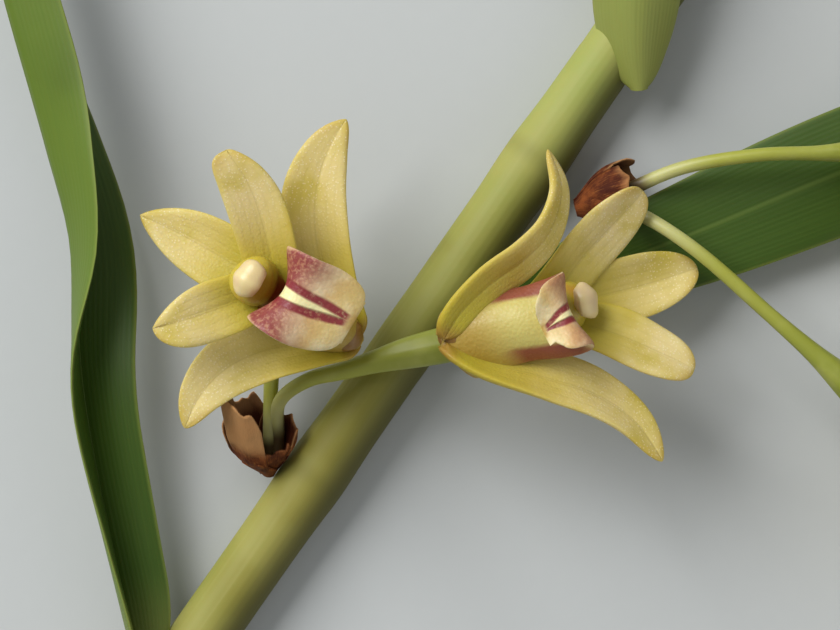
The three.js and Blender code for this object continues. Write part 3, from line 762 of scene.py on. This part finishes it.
def lip_finish():
    """Cream lip: maroon stripes meet in a V beside a pale ridge, maroon bands on its trough."""
    f = Finish("lip", 0.36, (0.2, 0.6 * MM, (1.0, 0.6, 0.35)), Coat_Weight=0.1,
               Coat_Roughness=0.3)
    across, lengthways = f.uv()
    inner = f.attribute("side").rise(-0.2, 0.2)
    from_middle = abs(across - 0.5) * 2
    speckle = f.noise(4200, 3.0, 0.65)
    clouds = f.noise(620, 3.0)
    face = ((lengthways - LIP_FOLD) / (1 - LIP_FOLD)).at_least(0.0)
    width = from_middle + (clouds - 0.5) * 0.08
    shoulder = (face + clouds * 0.35 - from_middle * 0.14).rise(0.62, 0.22)
    shoulder = shoulder * (0.6 + speckle.rise(0.36, 0.54) * 0.4)
    horn = (from_middle + clouds * 0.06 - face * 0.4).rise(0.95, 1.02)
    ridge_half = (0.18 - face * 0.21).at_least(0.0)
    ridge = (width - ridge_half).rise(0.03, -0.04) * face.rise(0.9, 0.8)
    stripes = abs(width - ridge_half - 0.1).rise(0.14, 0.06) * face.rise(0.96, 0.86)
    # The throat by the fold: the lip's maroon, darkened as painted shade of the bend
    throat = f.layered((120, 16, 16), (clouds.rise(0.3, 0.7), (160, 44, 40)),
                       (from_middle.rise(0.2, 0.06), (214, 194, 110)))
    front = f.layered(
        (212, 184, 112),
        (clouds.rise(0.35, 0.7), "lip"),
        (face.rise(0.8, 1.0) * width.rise(0.6, 0.2) * 0.85, (184, 146, 58)),
        ((face + clouds * 0.5).rise(1.05, 0.35) * 0.5, (206, 128, 112)),
        (shoulder * 0.92, "lip_mark"),
        (horn * 0.75, (226, 190, 140)),
        (ridge, (242, 230, 170)),
        (stripes * (0.6 + speckle.rise(0.25, 0.5) * 0.38), "lip_mark"),
        (lengthways.rise(LIP_FOLD + 0.01, LIP_FOLD - 0.05), throat))
    band = (from_middle + clouds * 0.14).rise(0.58, 0.72) * lengthways.rise(0.2, 0.36)
    band = band * lengthways.rise(LIP_FOLD + 0.3, LIP_FOLD + 0.12)
    back = f.layered(
        "lip_base",
        (lengthways.rise(0.12, 0.4), (204, 190, 106)),
        (band * 0.88, (136, 36, 44)),
        (lengthways.rise(LIP_FOLD - 0.02, LIP_FOLD + 0.12) * 0.8, "lip"))
    lines = (ridge * 3.0 - stripes * 1.5) * inner * face.rise(0.0, 0.1)
    return f.done(f.layered(back, (inner, front)), f.cells(5200) * -1.0 + speckle * 0.8 + lines,
                  0.03, 0.7, 0.28 + f.cells(6500) * 0.4 + clouds * 0.1)


def column_finish():
    """Olive yellow column with a maroon throat darkened as painted shade toward the lip, red above
    its foot and brown at the chin.
    """
    f = Finish("column", 0.4, (0.5, MM, (1.0, 0.7, 0.2)), Coat_Weight=0.1, Coat_Roughness=0.3)
    across, lengthways = f.uv()
    clouds = f.noise(700, 3.0)
    # The throat: maroon on the column's side toward the lip, darkened as painted shade between
    # column and lip
    throat = (f.attribute("side") + clouds * 0.3).rise(0.5, 0.85) * lengthways.rise(0.86, 0.74)
    spot = lengthways.rise(0.78, 0.88) * across.rise(0.35, 0.1) * clouds.rise(0.35, 0.6)
    colour = f.layered(
        (196, 178, 62),
        (clouds.rise(0.35, 0.7) * 0.5, "column"),
        ((lengthways + clouds * 0.1).rise(0.66, 0.56), (150, 34, 26)),
        (lengthways.rise(0.24, 0.14), (140, 100, 40)),
        (throat * lengthways.rise(0.35, 0.5) * 0.9, (126, 26, 20)),
        (spot * 0.4, (196, 104, 36)))
    return f.done(colour, clouds + f.cells(6500) * -0.6, 0.025, 0.6)


def cap_finish():
    """Cream anther cap, yellower at its far end."""
    f = Finish("anther_cap", 0.34, (0.35, 0.7 * MM, (1.0, 0.8, 0.5)), Coat_Weight=0.15,
               Coat_Roughness=0.25)
    clouds = f.noise(900, 3.0)
    colour = f.layered(
        (222, 196, 150),
        (clouds.rise(0.3, 0.7), "cap"),
        (f.uv()[1].rise(0.8, 1.0) * 0.5, (206, 186, 96)))
    return f.done(colour, clouds + f.cells(7500) * -0.4, 0.02, 0.5)


def floor_finish():
    """Pale matt surface with a faint grain."""
    f = Finish("floor", 0.85)
    grain = f.noise(900, 3.0, 0.6)
    colour = f.layered("floor", (grain.rise(0.3, 0.7) * 0.04, (178, 182, 181)))
    return f.done(colour, grain, 0.01, 0.3)


# Outlines: the width at the base, where the widest place is, how the tip closes, and its width
LATERAL = {"base": 0.72, "widest": 0.42, "tip": 0.7}
PETAL = {"base": 0.9, "widest": 0.42, "tip": 0.45}
LIP = {"base": 0.8, "widest": 0.62, "tip": 0.2, "end": 0.5}
LEAF = {"base": 0.35, "widest": 0.38, "tip": 1.05, "end": 0.05}

# The bloom that looks up at the viewer, drawn round the foot of its column. Each tepal has its
# spine, where its face looks, how deep it is cupped, and waves: their size, number and phase
OPEN_BLOOM = {
    "front": 149,
    "tilt": 18,
    "lip": {
        "apex": (0.85, -6.35, 2.2), "bend": (0.4, -3.3, 3.5), "width": 5.0,
        "fold": 0.63, "cups": [0.75, 0.72, 0.68, 0.62, 0.6, 0.35, 0.05, -0.1],
    },
    "dorsal_sepal": {
        "spine": [(-0.2, 0.3, -0.6), (-2.6, 1.75, -1.1), (-4.9, 3.0, -1.5), (-6.75, 3.85, -1.5)],
        "faces": [(-0.1, 0, 1)], "cups": [0.3, 0.35, 0.3, 0.2], "waves": [(0.08, 1.5, 0.2)],
        "form": {"base": 1.0, "widest": 0.28, "tip": 0.8},
    },
    "petal_right": {
        "spine": [(0.8, -0.3, -0.4), (0.1, 3.3, 0.7), (-0.6, 5.5, 1.4), (-1.35, 7.3, 2.0)],
        "faces": [(-0.1, -0.2, 1)], "cups": [0.3, 0.3, 0.2, 0.3], "waves": [(0.12, 1.3, 0.6)],
        "left": {"widest": 0.6, "tip": 0.26}, "right": {"widest": 0.35, "tip": 0.62},
        "skew": [0, 0, 0, 0, 0, -0.12, -0.4],
    },
    "petal_left": {
        "spine": [(-0.3, -0.5, 0.1), (-2.3, -1.25, 0.7), (-4.1, -1.85, 1.1), (-5.75, -2.3, 1.3)],
        "faces": [(0.2, 0, 1)], "cups": [0.3, 0.3, 0.15, 0.25], "waves": [(0.12, 1.6, 0.1)],
        "left": {"widest": 0.5, "tip": 0.45}, "right": {"widest": 0.35, "tip": 0.85},
    },
    "lateral_sepal_right": {
        "spine": [(4.9, -2.8, -2.6), (3.7, -0.4, -2.2), (2.9, 2.4, -1.6), (2.85, 5.1, -1.2),
                  (3.5, 7.3, -0.9), (4.5, 9.0, -0.7)],
        "faces": [(-0.5, 0, 0.9), (-0.1, 0, 1), (0, 0, 1)], "cups": [0.35, 0.3, 0.25, 0.2],
        "waves": [(0.08, 1.4, 0.4)], "left": {"base": 1.5, "widest": 0.5},
    },
    "lateral_sepal_left": {
        "spine": [(5.1, -3.0, -2.6), (2.6, -3.2, -2.4), (0.0, -3.6, -2.1), (-2.0, -4.5, -1.8),
                  (-3.4, -5.9, -1.5), (-4.3, -7.75, -1.3)],
        "faces": [(-0.3, 0.5, 0.9), (0, 0.2, 1), (0, 0, 1)], "cups": [0.35, 0.3, 0.25, 0.25],
        "waves": [(0.08, 1.7, 0.8)], "roll": 0.12, "wide": 0.95,
    },
}

# The bloom that looks to the side, seen from its chin
SIDE_BLOOM = {
    "front": 15,
    "tilt": 57,
    "lip": {
        "apex": (1.0, -4.25, 2.1), "bend": (0.45, -3.45, 3.15), "width": 4.6,
        "side": (-1, 0, -0.2), "fold": 0.74,
        "left": {"base": 1.35, "widest": 0.72, "tip": 0.7, "end": 0.4},
        "cups": [0.6, 0.55, 0.5, 0.5, 0.45, 0.3, 0.35, 0.45],
    },
    "dorsal_sepal": {
        "spine": [(1.0, 0.4, -0.9), (3.6, 1.0, -2.0), (5.9, 1.55, -2.4), (8.7, 2.4, -2.3)],
        "faces": [(0.3, 0, 1), (0.1, 0, 1), (-0.3, 0, 1)], "cups": [0.35, 0.4, 0.4, 0.35],
        "waves": [(0.1, 1.4, 0.5)], "form": {"base": 0.7, "widest": 0.5, "tip": 0.5},
    },
    "petal_left": {
        "spine": [(0.0, 0.0, -0.5), (1.9, 2.9, -0.7), (3.45, 4.6, -0.7), (5.45, 6.65, -0.4)],
        "faces": [(0.4, -0.3, 0.8)], "cups": [0.3, 0.3, 0.15, 0.3], "waves": [(0.1, 1.2, 0.3)],
        "left": {"base": 1.45, "widest": 0.6, "tip": 0.35}, "right": {"widest": 0.55, "tip": 0.4},
    },
    "petal_right": {
        "spine": [(1.5, -0.6, 0.4), (4.0, -1.4, 0.8), (6.1, -2.3, 1.1), (8.1, -3.2, 1.2)],
        "faces": [(0.3, 0.4, 0.9)], "cups": [0.35, 0.3, 0.2, 0.3], "waves": [(0.12, 1.5, 0.9)],
        "left": {"widest": 0.5, "tip": 0.5}, "right": {"widest": 0.6, "tip": 0.35},
    },
    "lateral_sepal_left": {
        "spine": [(-5.6, -1.5, 2.6), (-4.7, 0.0, 2.9), (-3.1, 1.6, 2.7), (-1.3, 2.9, 2.2),
                  (0.1, 4.5, 1.6), (0.7, 6.6, 1.3), (0.15, 8.8, 1.2)],
        "faces": [(0.1, -0.5, 0.9), (0.35, -0.45, 0.8), (0.7, -0.3, 0.65), (0.8, 0.1, 0.5)],
        "cups": [0.3, 0.25, 0.2, 0.2], "waves": [(0.06, 1.5, 0.1)],
        "left": {"base": 0.5}, "right": {"base": 0.55}, "wide": 0.66,
    },
    "lateral_sepal_right": {
        "spine": [(-5.6, -1.8, 2.5), (-3.4, -2.9, 2.3), (0.0, -3.75, 1.9), (2.6, -4.6, 1.7),
                  (4.7, -6.0, 1.8), (6.3, -8.1, 2.0)],
        "faces": [(0.1, 0.8, 0.6), (0.2, 0.7, 0.7), (0.4, 0.5, 0.8), (0.3, 0.4, 0.9)],
        "cups": [0.3, 0.25, 0.25, 0.25], "waves": [(0.08, 1.8, 0.6)], "roll": 0.1,
        "left": {"base": 0.7}, "right": {"base": 0.5}, "wide": 0.9,
    },
}

# Each bloom's place and turn, and its stalk's way with the girth along it in stalk radii
BLOOMS = {
    "bloom_1": {
        "like": OPEN_BLOOM, "turn": 0, "centre": (-8.9, 1.6, 8.3),
        "stalk": [(-8.9, -8.3, 2.1), (-8.9, -6.9, 2.3), (-8.8, -4.2, 2.6), (-8.6, -1.4, 3.2),
                  (-8.5, 0.6, 4.9), (-8.75, 1.5, 7.9)],
        "girth": [0.9, 0.9, 1, 1.1, 1.9, 2.5, 2.4],
    },
    "bloom_2": {
        "like": SIDE_BLOOM, "turn": 0, "centre": (6.4, 0.2, 5.9),
        "stalk": [(-8.5, -8.3, 2.1), (-8.4, -6.9, 2.3), (-8.3, -4.9, 3.0), (-6.7, -3.65, 4.0),
                  (-4.7, -3.1, 4.6), (-1.5, -2.2, 5.2), (2.3, -1.3, 5.2), (6.0, 0.1, 5.6)],
        "girth": [0.9, 0.9, 0.95, 1.1, 1.5, 2.2, 2.5, 2.4, 2.2],
    },
    "bloom_3": {
        "like": OPEN_BLOOM, "turn": 178, "centre": (28.3, 9.4, 8.4),
        "stalk": [(10.8, 6.8, 2.1), (14.2, 8.2, 3.6), (18.5, 8.9, 4.4), (22.4, 9.0, 4.6),
                  (26.4, 9.3, 5.0), (28.1, 9.5, 8.0)],
        "girth": [1, 0.9, 0.9, 0.9, 1, 1.6, 2.4, 2.4],
    },
    "bloom_4": {
        "like": SIDE_BLOOM, "turn": -55, "centre": (28.0, -8.0, 5.9),
        "stalk": [(10.8, 6.2, 2.4), (12.6, 5.2, 4.2), (15.0, 3.5, 4.8), (19.0, 0.0, 4.7),
                  (22.2, -2.8, 4.7), (25.0, -5.4, 5.0), (27.8, -7.9, 5.6)],
        "girth": [1, 0.9, 0.9, 0.95, 1, 1.3, 2.1, 2.5, 2.3],
    },
}

# Leaves: their way from the cane, how far the face is turned right, how steep the fold is
ANY_LEAF = {"cups": [0.7, 0.45, 0.35, 0.3, 0.3], "keel": 0.004, "floor": 0.0, "size": 1,
            "waves": [(0.1, 3.5, 0.3), (0.05, 8, 0.1)]}
LEAVES = {
    "leaf_low": {
        "spine": [on_cane(-48, -1.3, 1.9), (-22, -37.6, 3.6), (-3, -35.5, 5.2), (20, -33, 3.6),
                  (43, -35, 0.29)],
        "turns": [-25, -8, 5, 0],
    },
    "leaf_a": {
        "spine": [on_cane(-26.2, 1.3, 1.9), (-16.8, -17.7, 2.2), (-18.6, -9.3, 2.6),
                  (-19.6, -2.6, 3.0), (-19.85, 4.1, 3.4), (-21.1, 9.3, 3.7), (-23.4, 17.7, 4.2),
                  (-28.5, 37, 3.8), (-36, 60, 0.29)],
        "turns": [50, 44, 38, 68, 98, 104, 90, 60, 30, 10, 0],
        "cups": [0.8, 0.8, 0.8, 0.8, 0.8, 0.8, 0.7, 0.5, 0.4, 0.35, 0.3],
        "form": {"base": 0.75},
    },
    "leaf_b": {
        "spine": [on_cane(-1.6, -1.3, 1.4), (7, 1.4, 1.6), (15.5, 4.8, 2.0), (23.5, 8.1, 2.5),
                  (40, 14.2, 3.6), (58, 19, 3.6), (80, 20.5, 0.29)],
        "turns": [8, 0, 0, 0, 0], "cups": [0.4, 0.0, -0.35, -0.35, -0.25, 0.0], "keel": 0.12,
        "size": 1.02,
    },
    "leaf_c": {
        "spine": [(11.9, 12.6, 3.3), (11.6, 15.1, 4.2), (11.6, 18.5, 5.2), (12.0, 27, 6.8),
                  (11.5, 44, 8.0), (8, 68, 5.6), (3, 90, 0.29)],
        "turns": [168, 172, 180, 180, 180], "cups": [0.75, 0.5, 0.4, 0.3, 0.3], "keel": 0.2,
        "form": {"base": 0.9, "widest": 0.3}, "right": {"base": 1.15}, "size": 0.95,
    },
    "leaf_d": {
        "spine": [on_cane(39.6, -1.3, 1.9), (32.5, 34, 3.0), (46, 40, 5.0), (64, 45, 4.4),
                  (84, 44, 0.29)],
        "turns": [25, 8, 0, 0], "size": 0.92,
    },
    "leaf_e": {
        "spine": [on_cane(61.5, 1.2, 1.9), (35, 59, 3.0), (34, 72, 5.4), (29, 89, 4.6),
                  (19, 106, 0.29)],
        "turns": [28, 10, 0, 0], "size": 0.85,
    },
    "leaf_tip": {
        "spine": [on_cane(73.4, 0, 2.2), (49, 67, 3.4), (59, 80, 4.2), (70, 92, 0.29)],
        "turns": [0, 0], "cups": [0.7, 0.45, 0.35, 0.3], "size": 0.62,
    },
}

# Bracts: a cup from its root to its mouth, and its papery scales, each from one angle to
# another in degrees, with its length as a share of the cup's and a seed for its torn rim
BRACTS = {
    "left_bracts": {
        "root": (-8.9, -8.9, 1.7), "mouth": (-9.2, -6.1, 4.0), "flat": 0.95,
        "outer": [0.5, 0.95, 1.45, 1.85, 2.0, 2.1],
        "scales": [(-35, 110, 0.92, 2), (80, 190, 1.2, 4), (140, 272, 1.8, 1),
                   (250, 350, 0.8, 3), (60, 300, 0.6, 5)],
    },
    "right_bracts": {
        "root": (8.4, 6.1, 1.9), "mouth": (11.8, 7.0, 2.35), "flat": 0.88,
        "outer": [0.5, 1.0, 1.5, 1.8, 1.9, 1.9],
        "scales": [(0, 200, 1.1, 5), (160, 380, 0.92, 6), (80, 300, 0.78, 7), (260, 420, 0.68, 8)],
    },
}

# The column from the end of its foot to its top, and the cap on it, round the column's foot:
# way, radii along it, flatness, rings and sides, and bumps: their size, number and phase
FOOT_END = (0, -5.3, -3.7)
KNOBS = {
    "column": (
        [FOOT_END, (0, -3.816, -2.812), (0, -1.4, -1.2), (0, -0.1, 0.1), (0, 0, 1.5),
         (0, -0.25, 2.5)],
        [0.8, 1.0, 0.85, 0.8, 1.1, 1.35, 1.25], 0.85, (48, 28), [(0.04, 3, 0.4)]),
    "anther_cap": (
        [(0, -0.95, 2.6), (0, -0.6, 2.85), (0, -0.05, 2.85), (0, 0.3, 2.55)],
        [0.6, 0.8, 0.9, 0.8, 0.55], 0.74, (36, 32),
        [(0.12, 4, 0.9), (0.1, 3, 2.0), (0.05, 2, 0.0)]),
}

# Lights: size and place in metres, the place right of, above and over the middle of the view
LIGHTS = {"main": (0.34, (-0.27, 0.25, 0.32)), "fill": (0.40, (0.34, -0.20, 0.22))}
FLOOR_HALF = 1.5
FLOOR_DROP = 0.03
SKY = (0.94, 0.97, 1, 1)
SKY_STRENGTH = 0.3


class STEM_OT_cane(bpy.types.Operator):
    """Make the cane with its nodes, sheath edges and ribs"""
    bl_idname = "stem.cane"
    bl_label = "Cane"

    def execute(self, context):
        sizes = context.scene.stem_sizes
        inputs = {
            "Radius": sizes.cane_radius, "Taper": sizes.cane_taper, "Start": CANE_START * MM,
            "End": CANE_END * MM, "Internode": INTERNODE * MM, "First Node": FIRST_NODE * MM,
            "Node Swell": sizes.node_swell, "Node Spread": sizes.node_spread,
            "Sheath Step": sizes.sheath_step, "Sheath Edge": SHEATH_EDGE * MM,
            "Ribs": float(sizes.ribs), "Rib Depth": sizes.rib_depth, "Rings": 525,
            "Sides": 156, "Seed": 4.0, "Material": cane_finish()}
        height = sizes.cane_radius / MM - CANE_FLAT
        ends = [on_cane(s, 0, height) for s in (CANE_START, CANE_END)]
        grow("cane", cane_tree(inputs), inputs, ends)
        return {"FINISHED"}


class STEM_OT_leaves(bpy.types.Operator):
    """Make the folded leaves"""
    bl_idname = "stem.leaves"
    bl_label = "Leaves"

    def execute(self, context):
        sizes = context.scene.stem_sizes
        plain = leaf_finish("leaf")
        young = leaf_finish("leaf_young", 0.85)
        for name, leaf in LEAVES.items():
            shape = {**ANY_LEAF, **leaf, "form": {**LEAF, **leaf.get("form", {})}}
            form = Form(name)
            blade(form, shape, sizes.leaf_width / MM * shape["size"],
                  sizes.leaf_thickness / MM, steps=(110, 36))
            form.finish(young if name == "leaf_c" else plain)
        return {"FINISHED"}


class STEM_OT_bracts(bpy.types.Operator):
    """Make the papery bracts round the flower stalks"""
    bl_idname = "stem.bracts"
    bl_label = "Bracts"

    def execute(self, context):
        material = bract_finish()
        for name, cup in BRACTS.items():
            form = Form(name)
            for scale in cup["scales"]:
                bract_scale(form, cup, *scale)
            form.finish(material)
        return {"FINISHED"}


class STEM_OT_pedicels(bpy.types.Operator):
    """Make the flower stalks with their ovaries"""
    bl_idname = "stem.pedicels"
    bl_label = "Pedicels"

    def execute(self, context):
        sizes = context.scene.stem_sizes
        inputs = {"Rings": 72, "Sides": 36, "Grooves": 6.0,
                  "Groove Depth": sizes.pedicel_grooves, "Material": pedicel_finish()}
        tree = stalk_tree(inputs)
        share = np.linspace(0, 1, 60)
        for name, bloom in BLOOMS.items():
            points = curve_points(bloom["stalk"], share)[0]
            girth = along(bloom["girth"], share) * sizes.pedicel_radius
            grow(name + "_pedicel", tree, inputs, points, girth)
        return {"FINISHED"}


def bloom_places(bloom):
    """Two functions that put a bloom's own points and its drawn points in the drawing."""
    centre = np.asarray(bloom["centre"], float)
    turn = turned(bloom["turn"])
    own = turn @ bloom_axes(bloom["like"]["front"], bloom["like"]["tilt"])
    return (lambda p: centre + own @ p), (lambda p: centre + turn @ p)


class STEM_OT_columns(bpy.types.Operator):
    """Make the columns with their feet and anther caps"""
    bl_idname = "stem.columns"
    bl_label = "Columns"

    def execute(self, context):
        finishes = {"column": column_finish(), "anther_cap": cap_finish()}
        for name, bloom in BLOOMS.items():
            own = bloom_places(bloom)[0]
            for kind, (path, radii, flat, steps, bumps) in KNOBS.items():
                form = Form(f"{name}_{kind}")
                knob(form, path, radii, flat, own, steps, bumps)
                form.finish(finishes[kind])
        return {"FINISHED"}


class STEM_OT_lips(bpy.types.Operator):
    """Make the marked lips"""
    bl_idname = "stem.lips"
    bl_label = "Lips"

    def execute(self, context):
        sizes = context.scene.stem_sizes
        material = lip_finish()
        x, y, z = FOOT_END
        for name, bloom in BLOOMS.items():
            lip = bloom["like"]["lip"]
            sway, _, high = lip["bend"]
            half_way = tuple((a + b) / 2 for a, b in zip(lip["bend"], lip["apex"]))
            shape = {
                "side": (-1, 0, 0), "form": LIP, "waves": [(0.12, 2.2, 0.3)], **lip,
                "spine": [(x, y + 0.2, z + 0.1), (0, -4.3, -1.6), (sway / 2, -3.5, 0.6),
                          (sway, -2.8, high - 1.2), (sway, -2.7, high - 0.4), lip["bend"],
                          half_way, lip["apex"]],
            }
            form = Form(name + "_lip")
            blade(form, shape, lip["width"], sizes.tepal_thickness / MM,
                  bloom_places(bloom)[0], steps=(96, 40))
            form.finish(material)
        return {"FINISHED"}


class STEM_OT_tepals(bpy.types.Operator):
    """Make the sepals and petals"""
    bl_idname = "stem.tepals"
    bl_label = "Sepals and petals"

    def execute(self, context):
        sizes = context.scene.stem_sizes
        sepal = (tepal_finish("sepal"), sizes.sepal_width, {})
        lateral = (tepal_finish("lateral_sepal", chin=0.75), sizes.sepal_width, LATERAL)
        petal = (tepal_finish("petal", 0.2), sizes.petal_width, PETAL)
        tepals = {"lateral_sepal_left": lateral, "lateral_sepal_right": lateral,
                  "dorsal_sepal": sepal, "petal_left": petal, "petal_right": petal}
        for name, bloom in BLOOMS.items():
            drawn = bloom_places(bloom)[1]
            for tepal, (material, width, outlined) in tepals.items():
                shape = {"channel": 0.07, "form": outlined, **bloom["like"][tepal]}
                form = Form(f"{name}_{tepal}")
                blade(form, shape, width / MM * shape.get("wide", 1),
                      sizes.tepal_thickness / MM, drawn)
                form.finish(material)
        return {"FINISHED"}


class STEM_OT_stage(bpy.types.Operator):
    """Make the surface, the lights and the camera"""
    bl_idname = "stem.stage"
    bl_label = "Stage"

    def execute(self, context):
        stage = context.scene.stem_stage
        form = bmesh.new()
        bmesh.ops.create_grid(form, x_segments=1, y_segments=1, size=FLOOR_HALF)
        bmesh.ops.translate(form, verts=form.verts, vec=(0, 0, -FLOOR_DROP * MM))
        data = bpy.data.meshes.new("floor")
        form.to_mesh(data)
        form.free()
        data.materials.append(floor_finish())
        floor = shown("floor", data)
        middle = Vector((stage.across, stage.along, 0))
        for label, (size, place) in LIGHTS.items():
            lamp = bpy.data.lights.new(label, "AREA")
            lamp.energy = getattr(stage, label + "_light")
            lamp.size = size
            light = shown(label, lamp)
            light.location = middle + Vector(TURN @ place)
            light.rotation_euler = (middle - light.location).to_track_quat("-Z", "Y").to_euler()
        world = bpy.data.worlds.new("studio")
        world.use_nodes = True
        sky = world.node_tree.nodes["Background"].inputs
        sky["Color"].default_value = SKY
        sky["Strength"].default_value = SKY_STRENGTH
        context.scene.world = world
        context.scene.view_settings.view_transform = "Standard"
        lens = bpy.data.cameras.new("camera")
        lens.lens = stage.lens
        lens.clip_start = 5 * MM
        camera = shown("camera", lens)
        camera.location = (stage.across, stage.along, stage.height)
        camera.rotation_euler = (0, 0, -math.radians(LEAN))
        context.scene.camera = camera
        return {"FINISHED"}


class STEM_PT_pieces(bpy.types.Panel):
    """Lists the pieces of the stem"""
    bl_label = "Orchid Stem"
    bl_idname = "STEM_PT_pieces"
    bl_space_type = "VIEW_3D"
    bl_region_type = "UI"
    bl_category = "Stem"

    def draw(self, context):
        for maker in PIECES:
            self.layout.operator(maker.bl_idname)
        for group in GROUPS:
            settings = getattr(context.scene, group)
            box = self.layout.box()
            for label in type(settings).__annotations__:
                box.prop(settings, label)


PIECES = (STEM_OT_cane, STEM_OT_leaves, STEM_OT_bracts, STEM_OT_pedicels, STEM_OT_columns,
          STEM_OT_lips, STEM_OT_tepals, STEM_OT_stage)
GROUPS = {"stem_sizes": StemSizes, "stem_colours": StemColours, "stem_stage": StageSettings}


def register():
    for part in (*GROUPS.values(), *PIECES, STEM_PT_pieces):
        bpy.utils.register_class(part)
    for name, group in GROUPS.items():
        setattr(bpy.types.Scene, name, bpy.props.PointerProperty(type=group))


def unregister():
    for name in GROUPS:
        delattr(bpy.types.Scene, name)
    for part in reversed((*GROUPS.values(), *PIECES, STEM_PT_pieces)):
        bpy.utils.unregister_class(part)


def main():
    register()
    for maker in PIECES:
        area, operator = maker.bl_idname.split(".")
        getattr(getattr(bpy.ops, area), operator)()


if __name__ == "__main__":
    main()
